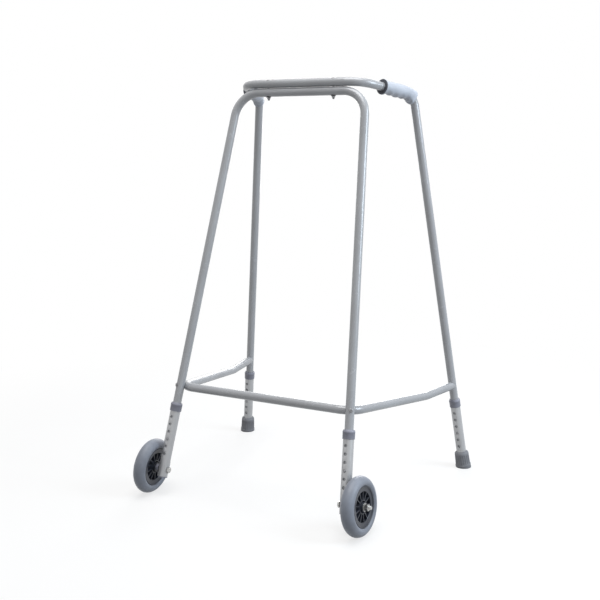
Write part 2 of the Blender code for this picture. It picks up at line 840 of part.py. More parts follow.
def add_front_plug(label, end, axis):
    end -= GAP
    stem = SLEEVE_BORE * math.cos(math.pi / SLEEVE_SIDES) - GAP
    profile = [
        (stem, end + PLUG_STEM),
        (stem, end),
        (SLEEVE_R, end),
        (SLEEVE_R, end - PLUG_FLANGE),
        (PLUG_BORE_D / 2, end - PLUG_FLANGE),
        (PLUG_BORE_D / 2, end + PLUG_STEM),
    ]
    add_turned(label + "_extension_plug", profile, SLEEVE_SIDES, GREY_PLASTIC, axis)


def add_front_leg(label, side, tube):
    leg_axis = add_empty(label + "_front_leg_axis", front_leg(side))
    name = label + "_front"
    end = axle_height(leg_axis.matrix_world, side) - SLEEVE_BELOW_AXLE
    sleeve = add_sleeve(name, FRONT_PIN, end, tube, leg_axis)
    add_front_plug(name, end, leg_axis)
    wheel_axis = add_empty(label + "_wheel_axis", wheel_matrix(side))
    add_tyre(label, wheel_axis)
    add_hub(label, wheel_axis)
    add_axle(label, sleeve, wheel_axis, leg_axis, side)


def add_rear_leg(label, side, tube):
    leg_axis = add_empty(label + "_rear_leg_axis", rear_leg(side))
    name = label + "_rear"
    add_sleeve(name, REAR_PIN, REAR_SLEEVE_END, tube, leg_axis)
    add_rear_foot(name, leg_axis)


# A grip's own path: straight points, then the start of a bend that is tighter than the tube's
def grip_path(side):
    front = handle_corner(side)
    rear = rear_corner(side)
    foot = rear_leg(side).to_translation()
    curve = bend(front, rear, foot, GRIP_BEND)[1][: 1 + GRIP_BEND_STEPS]
    start = front + (rear - front).normalized() * GRIP_START
    count = 3 * GRIP_FINGERS + 2
    return [start.lerp(curve[0], step / count) for step in range(count)], curve


# The tube's path through a grip, which runs out of both its ends
def grip_bore_path(side):
    front = handle_corner(side)
    rear = rear_corner(side)
    foot = rear_leg(side).to_translation()
    curve = bend(front, rear, foot, HANDLE_BEND)[1]
    first = front + (rear - front).normalized() * (GRIP_START - TUBE_OD)
    last = curve[-1] + (foot - rear).normalized() * TUBE_OD
    return [first, *curve, last]


def add_grip(label, side):
    straight, curve = grip_path(side)
    length = (curve[0] - straight[0]).length
    swell = []
    for index in range(len(straight)):
        share = index / len(straight)
        width = GRIP_D + (GRIP_END_D - GRIP_D) * share
        if share * length < GRIP_FLANGE_W:
            width = GRIP_FLANGE_D
        swell.append(width / GRIP_D)
    for index in range(len(curve)):
        width = GRIP_END_D + (GRIP_HEEL_D - GRIP_END_D) * index / GRIP_BEND_STEPS
        swell.append(width / GRIP_D)
    name = label + "_handgrip"
    mesh = swept_mesh(name, straight + curve, GRIP_D, GRIP_SIDES, True, swell)
    shape_underside(mesh, straight, length)
    grip = add_part(name, mesh, GRIP_RUBBER)
    bore = swept_mesh(name + "_bore", grip_bore_path(side), TUBE_OD + 2 * GAP, TUBE_SIDES, True)
    boolean(grip, add_cutter(name + "_bore", bore))


# Finger grooves along the underside, and a heel that fills the inside of the bend
def shape_underside(mesh, straight, length):
    run = (straight[1] - straight[0]).normalized()
    below = (Vector((0, 0, -1)) + run * run.z).normalized()
    for vertex in mesh.vertices:
        reach = vertex.co - straight[0]
        at = reach.dot(run)
        depth = (reach - run * at).dot(below)
        if at < GRIP_FLANGE_W + GAP:
            continue
        weight = min(max((depth - TUBE_R / 2) / (GRIP_D / 2 - TUBE_R / 2), 0), 1)
        share = min((at - GRIP_FLANGE_W) / (length - GRIP_FLANGE_W), 1)
        wave = math.cos(2 * math.pi * GRIP_FINGERS * share)
        drop = wave * GRIP_FINGER_DEPTH / 2 + GRIP_HEEL * share**4
        vertex.co += below * weight * drop


def build():
    front_tube = front_frame_tube()
    handle_tube = handle_frame_tube()
    brace = lower_brace_tube()
    for label, side in SIDES.items():
        saddle = leg_cutter(label + "_front_leg_saddle", front_leg(side), BRACE_FRONT_Z)
        boolean(brace, saddle)
        add_brace_bolts(label, side, front_tube, brace)
        add_brace_end(label, side, handle_tube, brace)
        add_rail_bolts(label, side, front_tube, handle_tube)
        add_front_leg(label, side, front_tube)
        add_rear_leg(label, side, handle_tube)
        add_grip(label, side)


clear_scene()
walker = new_collection("wheeled_walker")
cutters = new_collection("cutters")
build()
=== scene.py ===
import json
import math

import bmesh
import bpy
from mathutils import Matrix, Vector

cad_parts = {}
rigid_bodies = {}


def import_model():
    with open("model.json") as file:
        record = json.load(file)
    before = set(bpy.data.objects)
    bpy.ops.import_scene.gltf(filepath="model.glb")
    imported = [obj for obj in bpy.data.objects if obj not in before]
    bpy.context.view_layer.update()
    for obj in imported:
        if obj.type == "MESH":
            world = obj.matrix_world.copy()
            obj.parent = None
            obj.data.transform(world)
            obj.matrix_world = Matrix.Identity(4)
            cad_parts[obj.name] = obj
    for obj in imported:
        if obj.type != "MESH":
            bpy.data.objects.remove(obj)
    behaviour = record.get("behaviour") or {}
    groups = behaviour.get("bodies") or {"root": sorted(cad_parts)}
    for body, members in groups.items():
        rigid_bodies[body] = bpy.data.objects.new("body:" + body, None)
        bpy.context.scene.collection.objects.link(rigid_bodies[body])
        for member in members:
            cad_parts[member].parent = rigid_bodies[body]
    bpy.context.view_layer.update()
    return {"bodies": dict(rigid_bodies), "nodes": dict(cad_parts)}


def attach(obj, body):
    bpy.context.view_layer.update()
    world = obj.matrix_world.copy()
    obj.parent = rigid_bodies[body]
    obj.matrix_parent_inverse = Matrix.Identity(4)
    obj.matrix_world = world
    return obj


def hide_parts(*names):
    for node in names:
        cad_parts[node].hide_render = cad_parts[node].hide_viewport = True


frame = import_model()
nodes = frame["nodes"]
print("frame loaded,", len(nodes), "nodes")

sides = {"left": -1, "right": 1}
gap = 0.0003  # left between pieces that fit into each other
weld = 0.000001  # points nearer than this are one
floorUp = Vector((0, 0, 1))


# Picking, placing and finishing pieces

def clearSelection():
    bpy.ops.object.select_all(action="DESELECT")


def makeActive(piece):
    clearSelection()
    piece.select_set(True)
    bpy.context.view_layer.objects.active = piece


def startEdit(piece):
    makeActive(piece)
    bpy.ops.object.mode_set(mode="EDIT")


def leaveEdit():
    bpy.ops.object.mode_set(mode="OBJECT")


# selects in edit mode what passes the test, which is given a vertex's place, a face's middle
# or an edge's run from end to end
def pick(piece, test, kind="VERT"):
    bpy.ops.mesh.select_mode(type=kind)
    bpy.ops.mesh.select_all(action="DESELECT")
    mesh = bmesh.from_edit_mesh(piece.data)
    if kind == "VERT":
        for vert in mesh.verts:
            vert.select = test(vert.co)
    elif kind == "EDGE":
        for edge in mesh.edges:
            edge.select = test(edge.verts[1].co - edge.verts[0].co)
    else:
        for face in mesh.faces:
            face.select = test(face.calc_center_median())
    mesh.select_flush_mode()
    bmesh.update_edit_mesh(piece.data)


def tidyMesh():
    bpy.ops.mesh.select_all(action="SELECT")
    bpy.ops.mesh.remove_doubles(threshold=weld)
    bpy.ops.mesh.normals_make_consistent(inside=False)


# puts the place, turn and size of the selected piece into its mesh
def settle():
    bpy.ops.object.transform_apply(location=True, rotation=True, scale=True)


def place(piece, matrix):
    piece.matrix_world = matrix
    makeActive(piece)
    settle()


def copyOf(piece, name, matrix):
    made = piece.copy()
    made.data = piece.data.copy()
    made.name = name
    bpy.context.scene.collection.objects.link(made)
    place(made, matrix)
    return made


def discard(piece):
    bpy.data.objects.remove(piece, do_unlink=True)


def applyLast(piece):
    makeActive(piece)
    bpy.ops.object.modifier_apply(modifier=piece.modifiers[-1].name)


def cutWith(piece, cutter, operation="DIFFERENCE"):
    step = piece.modifiers.new("cut", "BOOLEAN")
    step.operation = operation
    step.object = cutter
    applyLast(piece)
    discard(cutter)


def roundEdges(piece, width, segments=2, limit=35):
    step = piece.modifiers.new("edges", "BEVEL")
    step.width = width
    step.segments = segments
    step.limit_method = "ANGLE"
    step.angle_limit = math.radians(limit)
    applyLast(piece)


def dress(piece, body, slot, finish, *replaced, smooth=38):
    makeActive(piece)
    bpy.ops.object.shade_smooth_by_angle(angle=math.radians(smooth))
    if not piece.data.materials:
        piece.data.materials.append(finish)
    piece.data.materials[0] = finish
    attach(piece, body)
    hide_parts(*replaced)
    return piece


def repaint(node, finish):
    nodes[node].data.materials.clear()
    nodes[node].data.materials.append(finish)


# Turned pieces: an outline of (radius, height) points, spun about Z

# a plane is merged to one point, and that point is drawn out along the outline
def turnPiece(name, outline, steps=64):
    clearSelection()
    bpy.ops.mesh.primitive_plane_add(size=0.01)
    piece = bpy.context.object
    piece.name = name
    bpy.ops.object.mode_set(mode="EDIT")
    bpy.ops.mesh.select_mode(type="VERT")
    bpy.ops.mesh.select_all(action="SELECT")
    bpy.ops.mesh.merge(type="CENTER")
    last = outline[0]
    bpy.ops.transform.translate(value=(last[0], 0, last[1]))
    turned = outline[1:] + ([outline[0]] if last[0] > 0 else [])
    for point in turned:
        move = (point[0] - last[0], 0, point[1] - last[1])
        bpy.ops.mesh.extrude_vertices_move(TRANSFORM_OT_translate={"value": move})
        last = point
    bpy.ops.mesh.select_all(action="SELECT")
    bpy.ops.mesh.spin(steps=steps, angle=2 * math.pi, center=(0, 0, 0), axis=(0, 0, 1))
    tidyMesh()
    leaveEdit()
    return piece


# points round an arc, its angles from the outward radius towards Z, in degrees
def arcPoints(radius, height, size, first, last, steps):
    points = []
    for step in range(steps + 1):
        angle = math.radians(first + (last - first) * step / steps)
        points.append((radius + size * math.cos(angle), height + size * math.sin(angle)))
    return points


# points beside a corner, each at its own offset from it
def cornerPoints(radius, height, offsets):
    return [(radius + out, height + up) for out, up in offsets]


def ringOutline(inner, outer, low, high, ease=0.0003):
    return [
        (inner, low + ease),
        (inner, high - ease),
        (inner + ease, high),
        (outer - ease, high),
        (outer, high - ease),
        (outer, low + ease),
        (outer - ease, low),
        (inner + ease, low),
    ]


def roundBar(name, radius, low, high, matrix=Matrix.Identity(4), sidesRound=32):
    clearSelection()
    bpy.ops.mesh.primitive_cylinder_add(
        vertices=sidesRound, radius=radius, depth=high - low, location=(0, 0, (high + low) / 2)
    )
    bar = bpy.context.object
    bar.name = name
    settle()
    place(bar, matrix)
    return bar


def block(name, size, middle, turn=0):
    clearSelection()
    bpy.ops.mesh.primitive_cube_add(size=1, location=middle, rotation=(0, 0, turn))
    made = bpy.context.object
    made.name = name
    made.scale = size
    settle()
    return made


def joinAll(pieces):
    clearSelection()
    for piece in pieces:
        piece.select_set(True)
    bpy.context.view_layer.objects.active = pieces[0]
    bpy.ops.object.join()
    return pieces[0]


# Where the legs and rails run

walker = {
    "tubeRadius": 0.0095,
    "tubeWall": 0.0015,
    "railY": 0.0188,
    "lowerRailZ": 0.8982,
    "lowerCornerX": 0.1603,
    "lowerBend": 0.058,
    "upperCornerX": 0.1479,
    "upperBend": 0.055,
    "handleRun": (0.0557, 0.1597, -0.0269),
    "handleBend": 0.036,
    "frontFoot": (0.23484, -0.2379),
    "rearFoot": (0.31091, 0.2660),
    "toeIn": math.radians(2.2),
    "tubeBelowPin": 0.036,
    "frontPin": 0.131,
    "rearPin": 0.091,
    "pinHoleR": 0.0035,
    "pinHoleSpan": (0.004, 0.02),
}
tubeR = walker["tubeRadius"]
upperRailZ = walker["lowerRailZ"] + 2 * tubeR + gap


def legFrame(foot, top):
    up = (top - foot).normalized()
    back = (Vector((0, 1, 0)) - up * up.y).normalized()
    across = back.cross(up)
    return Matrix.Translation(foot) @ Matrix((across, back, up)).transposed().to_4x4()


def frontCorner(side):
    return Vector((side * walker["lowerCornerX"], walker["railY"], walker["lowerRailZ"]))


def handleCorner(side):
    return Vector((side * walker["upperCornerX"], walker["railY"], upperRailZ))


def rearCorner(side):
    out, back, drop = walker["handleRun"]
    return handleCorner(side) + Vector((side * out, back, drop))


def frontLeg(side):
    x, y = walker["frontFoot"]
    leg = legFrame(Vector((side * x, y, 0)), frontCorner(side))
    return leg @ Matrix.Rotation(-side * walker["toeIn"], 4, "Z")


def rearLeg(side):
    x, y = walker["rearFoot"]
    return legFrame(Vector((side * x, y, 0)), rearCorner(side))


def along(leg, distance):
    return leg @ Vector((0, 0, distance))


def atHeight(leg, height):
    return along(leg, height / leg.col[2].z)


def aimed(spot, direction):
    turn = floorUp.rotation_difference(direction).to_matrix().to_4x4()
    return Matrix.Translation(spot) @ turn


def squareTo(leg, direction):
    up = leg.col[2].xyz
    return direction - up * direction.dot(up)


# a corner's arc: centre, first and last point, axis and angle
def cornerArc(before, corner, after, radius):
    back = (before - corner).normalized()
    on = (after - corner).normalized()
    half = back.angle(on) / 2
    centre = corner + (back + on).normalized() * (radius / math.sin(half))
    start = corner + back * (radius / math.tan(half))
    end = corner + on * (radius / math.tan(half))
    axis = (start - centre).cross(end - centre).normalized()
    return centre, start, end, axis, math.pi - 2 * half


# Finishes

finishes = {
    "frameMetal": {
        "colour": (0.450, 0.460, 0.480), "shade": (0.405, 0.412, 0.428), "metallic": 0.12,
        "rough": (0.19, 0.30), "patch": 9.0, "grain": 1400.0, "bump": 0.00004, "scuff": 0.08,
        "mirror": 0.42,
    },
    "sleeveMetal": {
        "colour": (0.54, 0.545, 0.555), "shade": (0.46, 0.465, 0.475), "metallic": 0.40,
        "rough": (0.26, 0.42), "patch": 22.0, "grain": 900.0, "bump": 0.00004, "scuff": 0.18,
        "drawn": 0.03, "mirror": 0.40,
    },
    "zinc": {
        "colour": (0.50, 0.50, 0.49), "shade": (0.36, 0.36, 0.35), "metallic": 0.85,
        "rough": (0.20, 0.38), "patch": 160.0, "grain": 2200.0, "bump": 0.00002, "scuff": 0.16,
    },
    "dullSteel": {
        "colour": (0.30, 0.30, 0.31), "shade": (0.20, 0.20, 0.21), "metallic": 0.75,
        "rough": (0.30, 0.46), "patch": 150.0, "grain": 2200.0, "bump": 0.00002, "scuff": 0.12,
    },
    "springSteel": {
        "colour": (0.34, 0.34, 0.36), "shade": (0.22, 0.22, 0.24), "metallic": 1.0,
        "rough": (0.28, 0.45), "patch": 120.0, "grain": 1800.0, "bump": 0.00002, "scuff": 0.10,
    },
    "greyPlastic": {
        "colour": (0.315, 0.320, 0.385), "shade": (0.260, 0.264, 0.315), "metallic": 0.0,
        "rough": (0.36, 0.52), "patch": 60.0, "grain": 2600.0, "bump": 0.00005, "scuff": 0.12,
    },
    "darkPlastic": {
        "colour": (0.045, 0.046, 0.052), "shade": (0.030, 0.030, 0.034), "metallic": 0.0,
        "rough": (0.42, 0.60), "patch": 80.0, "grain": 2400.0, "bump": 0.00004, "scuff": 0.10,
    },
    "blackPlastic": {
        "colour": (0.031, 0.037, 0.054), "shade": (0.022, 0.026, 0.038), "metallic": 0.0,
        "rough": (0.26, 0.42), "patch": 70.0, "grain": 2600.0, "bump": 0.00004, "scuff": 0.05,
    },
    "footRubber": {
        "colour": (0.262, 0.266, 0.290), "shade": (0.202, 0.206, 0.224), "metallic": 0.0,
        "rough": (0.52, 0.72), "patch": 55.0, "grain": 2000.0, "bump": 0.00008, "scuff": 0.16,
    },
    "tyreRubber": {
        "colour": (0.275, 0.300, 0.355), "shade": (0.232, 0.250, 0.295), "metallic": 0.0,
        "rough": (0.36, 0.55), "patch": 30.0, "grain": 1700.0, "bump": 0.00008, "scuff": 0.14,
    },
    "gripRubber": {
        "colour": (0.570, 0.602, 0.670), "shade": (0.490, 0.518, 0.580), "metallic": 0.0,
        "rough": (0.46, 0.62), "patch": 45.0, "grain": 1500.0, "bump": 0.00009, "scuff": 0.08,
    },
    # painted shade: the grip rubber darkened to near black, for the flange's front face
    "gripFace": {
        "colour": (0.075, 0.080, 0.098), "shade": (0.05, 0.053, 0.066), "metallic": 0.0,
        "rough": (0.55, 0.70), "patch": 60.0, "grain": 1500.0, "bump": 0.00009, "scuff": 0.06,
    },
}


# what all finishes share: how fine each pattern is, and which part of it counts
pattern = {
    "patchDetail": 5, "patchRough": 0.6, "patchSpan": (0.35, 0.65),
    "grainDetail": 3, "grainRough": 0.5, "bumpStrength": 0.8,
    "markScale": 6, "markDetail": 8, "markRough": 0.75, "fleckSpan": (0.60, 0.72), "glossSpan": (0.3, 0.7),
    "edgeSpan": (0.52, 0.60), "wornGain": 1.45, "wornLift": 0.02,
}


def addNode(tree, kind, sockets=None, **settings):
    node = tree.nodes.new(kind)
    for key, value in settings.items():
        setattr(node, key, value)
    for socket, value in (sockets or {}).items():
        node.inputs[socket].default_value = value
    return node


def link(source, output, target, socket):
    source.id_data.links.new(source.outputs[output], target.inputs[socket])


def noise(tree, scale, detail, rough, source):
    node = addNode(tree, "ShaderNodeTexNoise", {"Scale": scale, "Detail": detail, "Roughness": rough})
    link(source, "Vector", node, "Vector")
    return node


# brings the part of a value that lies in span to the range from low to high
def fitted(tree, source, output, span, low, high, **settings):
    limits = {"From Min": span[0], "From Max": span[1], "To Min": low, "To Max": high}
    node = addNode(tree, "ShaderNodeMapRange", limits, **settings)
    link(source, output, node, "Value")
    return node


# one finish: slow colour patches, fine grain as bump, uneven gloss, rubbed raised edges;
# with a frame, the pattern follows that frame's axes, and a drawn finish stretches along its Z
def makeFinish(name, label=None, axes=None):
    look = finishes[name]
    made = bpy.data.materials.new(label or name)
    made.use_nodes = True
    tree = made.node_tree
    shader = tree.nodes["Principled BSDF"]
    shader.inputs["Metallic"].default_value = look["metallic"]
    shader.inputs["Specular IOR Level"].default_value = look.get("mirror", 0.5)

    turned = addNode(tree, "ShaderNodeMapping", vector_type="TEXTURE")
    if axes:
        turned.inputs["Location"].default_value = axes.to_translation()
        turned.inputs["Rotation"].default_value = axes.to_euler()
    link(addNode(tree, "ShaderNodeTexCoord"), "Object", turned, "Vector")
    drawn = {"Scale": (1, 1, look.get("drawn", 1))}
    stretched = addNode(tree, "ShaderNodeMapping", drawn, vector_type="POINT")
    link(turned, "Vector", stretched, "Vector")
    patch = noise(tree, look["patch"], pattern["patchDetail"], pattern["patchRough"], turned)
    grain = noise(tree, look["grain"], pattern["grainDetail"], pattern["grainRough"], stretched)
    fine = look["patch"] * pattern["markScale"]
    marks = noise(tree, fine, pattern["markDetail"], pattern["markRough"], stretched)

    colours = {"A": (*look["shade"], 1), "B": (*look["colour"], 1)}
    tone = addNode(tree, "ShaderNodeMix", colours, data_type="RGBA")
    link(fitted(tree, patch, "Fac", pattern["patchSpan"], 0, 1), "Result", tone, "Factor")
    wear = addNode(tree, "ShaderNodeMath", operation="ADD", use_clamp=True)
    edges = addNode(tree, "ShaderNodeNewGeometry")
    link(fitted(tree, edges, "Pointiness", pattern["edgeSpan"], 0, look["scuff"]), "Result", wear, 0)
    link(fitted(tree, marks, "Fac", pattern["fleckSpan"], 0, look["scuff"]), "Result", wear, 1)
    worn = [min(1, pattern["wornGain"] * part + pattern["wornLift"]) for part in look["colour"]]
    final = addNode(tree, "ShaderNodeMix", {"B": (*worn, 1)}, data_type="RGBA")
    link(wear, 0, final, "Factor")
    link(tone, "Result", final, "A")
    link(final, "Result", shader, "Base Color")
    link(fitted(tree, marks, "Fac", pattern["glossSpan"], *look["rough"]), "Result", shader, "Roughness")

    raised = {"Distance": look["bump"], "Strength": pattern["bumpStrength"]}
    bump = addNode(tree, "ShaderNodeBump", raised)
    link(grain, "Fac", bump, "Height")
    link(bump, "Normal", shader, "Normal")
    return made


paint = makeFinish("frameMetal")
zinc = makeFinish("zinc")
dullSteel = makeFinish("dullSteel")
springSteel = makeFinish("springSteel")
greyPlastic = makeFinish("greyPlastic")
darkPlastic = makeFinish("darkPlastic")
blackPlastic = makeFinish("blackPlastic")
footRubber = makeFinish("footRubber")
tyreRubber = makeFinish("tyreRubber")
gripRubber = makeFinish("gripRubber")
gripFace = makeFinish("gripFace")
print("finishes made")


# Frame tubes: a ring pulled along the straights and spun round the bends

tubing = {"sides": 48, "bendStep": math.radians(4)}


def bentTube(name, corners, bends, radius):
    heading = floorUp.rotation_difference(corners[1] - corners[0]).to_euler()
    clearSelection()
    bpy.ops.mesh.primitive_circle_add(
        vertices=tubing["sides"], radius=radius, location=corners[0], rotation=heading
    )
    tube = bpy.context.object
    tube.name = name
    settle()
    bpy.ops.object.mode_set(mode="EDIT")
    bpy.ops.mesh.select_mode(type="EDGE")
    bpy.ops.mesh.select_all(action="SELECT")
    reached = corners[0]
    for before, corner, after, bend in zip(corners, corners[1:], corners[2:], bends):
        centre, start, end, axis, turn = cornerArc(before, corner, after, bend)
        bpy.ops.mesh.extrude_edges_move(TRANSFORM_OT_translate={"value": start - reached})
        steps = max(2, round(turn / tubing["bendStep"]))
        # with no window, spin turns the other way
        bpy.ops.mesh.spin(steps=steps, angle=-turn, center=centre, axis=axis)
        reached = end
    bpy.ops.mesh.extrude_edges_move(TRANSFORM_OT_translate={"value": corners[-1] - reached})
    tidyMesh()
    leaveEdit()
    return tube


def closeEnds(tube):
    startEdit(tube)
    bpy.ops.mesh.select_mode(type="EDGE")
    bpy.ops.mesh.select_all(action="DESELECT")
    bpy.ops.mesh.select_non_manifold()
    bpy.ops.mesh.fill_holes(sides=0)
    tidyMesh()
    leaveEdit()


def giveWall(tube):
    step = tube.modifiers.new("wall", "SOLIDIFY")
    step.thickness = walker["tubeWall"]
    step.offset = -1
    step.use_even_offset = True
    applyLast(tube)


railBolt = {
    "x": 0.082, "shank": 0.0025, "headWide": 0.010, "headHigh": 0.0024, "seat": 0.0070, "tip": -0.0368,
    "dimpleFloor": 0.0067, "dimpleFlat": 0.0054, "dimpleFade": 0.0042,
    "washerWide": 0.0112, "washerLow": -0.0301, "washerHigh": -0.02405,
    "nutTop": -0.0304, "nutHigh": 0.0032, "nutWide": 0.0076, "threadOver": 0.003,
    "dimpleRim": 0.002, "dimpleCuts": 18, "holeSpan": (-0.05, 0.02), "washerBar": 0.02,
}


def railBoltFrame(side):
    return Matrix.Translation((side * railBolt["x"], walker["railY"], upperRailZ))


# the rail is cut finely round the bolt, then pressed down to a flat floor with soft sides
def pressDimple(tube, side):
    look = railBolt
    startEdit(tube)
    reach = look["dimpleFlat"] + look["dimpleFade"] + look["dimpleRim"]
    for cut in range(look["dimpleCuts"] + 1):
        x = side * look["x"] + reach * (2 * cut / look["dimpleCuts"] - 1)
        bpy.ops.mesh.select_all(action="SELECT")
        bpy.ops.mesh.bisect(plane_co=(x, walker["railY"], upperRailZ), plane_no=(1, 0, 0))
    middle = railBoltFrame(side).to_translation()

    def onFloor(spot):
        away = (spot - middle).xy.length
        return away < look["dimpleFlat"] and spot.z > upperRailZ

    pick(tube, onFloor)
    bpy.ops.transform.resize(
        value=(1, 1, 0),
        center_override=(0, 0, upperRailZ + look["dimpleFloor"]),
        use_proportional_edit=True,
        proportional_edit_falloff="SMOOTH",
        proportional_size=look["dimpleFade"],
    )
    leaveEdit()


brace = {
    "frontHigh": 0.2407, "rearHigh": 0.2069, "cornerOut": 0.0008, "cornerBack": 0.0076, "bend": 0.040,
    "kink": (0.2645, 0.1291), "kinkBend": 0.080, "endBackOff": 0.0015,
    "headWide": 0.0090, "headHigh": 0.0018, "shank": 0.0025, "seat": 0.0098,
    "nutWide": 0.0090, "nutHigh": 0.0045, "tail": 0.0030, "screwTip": -0.0238,
    "threadOver": 0.002, "screwThread": -0.010, "holePast": 0.03, "copeHalf": 0.06,
}


def braceCorners(side):
    rear = atHeight(rearLeg(side), brace["rearHigh"])
    kink = Vector((side * brace["kink"][0], brace["kink"][1], brace["rearHigh"]))
    end = rear + (kink - rear).normalized() * brace["endBackOff"]
    shift = Vector((side * brace["cornerOut"], brace["cornerBack"], 0))
    return [end, kink, atHeight(frontLeg(side), brace["frontHigh"]) + shift]


def braceBoltFrame(side):
    leg = frontLeg(side)
    crossing = atHeight(leg, brace["frontHigh"])
    _, kink, corner = braceCorners(side)
    inwards = corner - Vector((side * brace["bend"], 0, 0))
    centre = cornerArc(kink, corner, inwards, brace["bend"])[0]
    middle = centre + (crossing - centre).normalized() * brace["bend"]
    reach = squareTo(leg, crossing - middle)
    return aimed(middle + reach, reach), reach.length


def braceScrewFrame(side):
    leg = atHeight(rearLeg(side), brace["rearHigh"])
    return aimed(leg, squareTo(rearLeg(side), leg - braceCorners(side)[1]))


def boltHole(tube, shank, matrix, low, high):
    cutWith(tube, roundBar("boltHole", shank + gap, low, high, matrix, sidesRound=24))


# the brace's end is cut to the leg that it meets
def cope(tube, leg, height):
    middle = height / leg.col[2].z
    low, high = middle - brace["copeHalf"], middle + brace["copeHalf"]
    cutWith(tube, roundBar("legBar", tubeR + gap, low, high, leg, sidesRound=64))


def buttonHole(tube, leg, pin):
    turn = Matrix.Translation((0, 0, pin)) @ Matrix.Rotation(math.pi / 2, 4, "X")
    cutWith(tube, roundBar("buttonHole", walker["pinHoleR"], *walker["pinHoleSpan"], leg @ turn))


def makeFrame():
    left, right = sides.values()
    lowest = walker["frontPin"] - walker["tubeBelowPin"]
    ends = [along(frontLeg(side), lowest) for side in (left, right)]
    stops = [ends[0], frontCorner(left), frontCorner(right), ends[1]]
    front = bentTube("frontTube", stops, [walker["lowerBend"]] * 2, tubeR)
    lowest = walker["rearPin"] - walker["tubeBelowPin"]
    ends = [along(rearLeg(side), lowest) for side in (left, right)]
    stops = [rearCorner(left), handleCorner(left), handleCorner(right), rearCorner(right)]
    turns = [walker["handleBend"], walker["upperBend"], walker["upperBend"], walker["handleBend"]]
    handle = bentTube("handleTube", [ends[0], *stops, ends[1]], turns, tubeR)
    turns = [brace["kinkBend"], brace["bend"], brace["bend"], brace["kinkBend"]]
    low = bentTube("braceTube", braceCorners(left) + braceCorners(right)[::-1], turns, tubeR)
    for side in (left, right):
        pressDimple(handle, side)
    for tube in (front, handle, low):
        giveWall(tube)
    for side in (left, right):
        for tube in (front, handle):
            boltHole(tube, railBolt["shank"], railBoltFrame(side), *railBolt["holeSpan"])
        matrix, spread = braceBoltFrame(side)
        for tube in (front, low):
            boltHole(tube, brace["shank"], matrix, -spread - brace["holePast"], brace["holePast"])
        boltHole(handle, brace["shank"], braceScrewFrame(side), -brace["holePast"], brace["holePast"])
        cope(low, frontLeg(side), brace["frontHigh"])
        cope(low, rearLeg(side), brace["rearHigh"])
        buttonHole(front, frontLeg(side), walker["frontPin"])
        buttonHole(handle, rearLeg(side), walker["rearPin"])
    dress(front, "frame", "frame_metal", paint, "front_frame_tube")
    dress(handle, "frame", "frame_metal", paint, "handle_frame_tube")
    dress(low, "frame", "frame_metal", paint, "lower_brace_tube")
    print("frame tubes bent")


# Bolts, screws and nuts

# depth and height of the ridges as shares of the pitch
thread = {"pitch": 0.0008, "deep": 0.5, "crest": 0.1, "root": 0.6, "runOut": 0.3, "point": 1.8}
panHead = {
    "edge": 0.35, "ease": 0.0002, "recessLong": 1.15, "recessWide": 0.24, "recessDeep": 1.1, "recessUp": 1.05,
}
nutShape = {"corner": 0.067, "slope": 0.62, "ease": 0.0003}


def threadOutline(radius, top, bottom):
    pitch = thread["pitch"]
    depth = pitch * thread["deep"]
    points = []
    for turn in range(max(1, int((top - bottom) / pitch))):
        start = top - pitch * turn
        points.append((radius, start - pitch * thread["crest"]))
        points.append((radius - depth, start - pitch * thread["root"]))
    points.append((radius - depth, bottom + pitch * thread["runOut"]))
    points.append((radius - depth * thread["point"], bottom))
    return points


# a pan head on its shank, threaded from threadTop down, with a cross recess
def panBolt(name, headR, headHigh, shank, seat, tip, threadTop, pointed=False):
    edge = panHead["edge"] * headHigh
    outline = []
    for degrees in range(0, 91, 10):
        angle = math.radians(degrees)
        outline.append((headR * math.sin(angle), seat + edge + (headHigh - edge) * math.cos(angle)))
    outline += [(headR, seat + panHead["ease"]), (headR - panHead["ease"], seat)]
    outline += [(shank, seat), (shank, threadTop)]
    outline += threadOutline(shank, threadTop, tip + shank if pointed else tip)
    outline.append((0, tip))
    bolt = turnPiece(name, outline, steps=40)
    long, wide = headR * panHead["recessLong"], headR * panHead["recessWide"]
    size = (long, wide, headHigh * panHead["recessDeep"])
    for turn in (0, math.pi / 2):
        cutWith(bolt, block("recess", size, (0, 0, seat + headHigh * panHead["recessUp"]), turn))
    return bolt


# a six-sided bar, its corners turned off, with a round bore
def hexNut(name, wide, bore, low, high):
    nut = roundBar(name, wide / 2, low, high, sidesRound=6)
    off = wide * nutShape["corner"]
    down = off * nutShape["slope"] + gap / 2
    ease = nutShape["ease"]
    turned = [
        (bore + ease, high),
        (wide / 2 - off, high),
        (wide / 2 + gap, high - down),
        (wide / 2 + gap, low + down),
        (wide / 2 - off, low),
        (bore + ease, low),
        (bore, low + ease),
        (bore, high - ease),
    ]
    cutWith(nut, turnPiece("nutShape", turned, steps=48), "INTERSECT")
    return nut


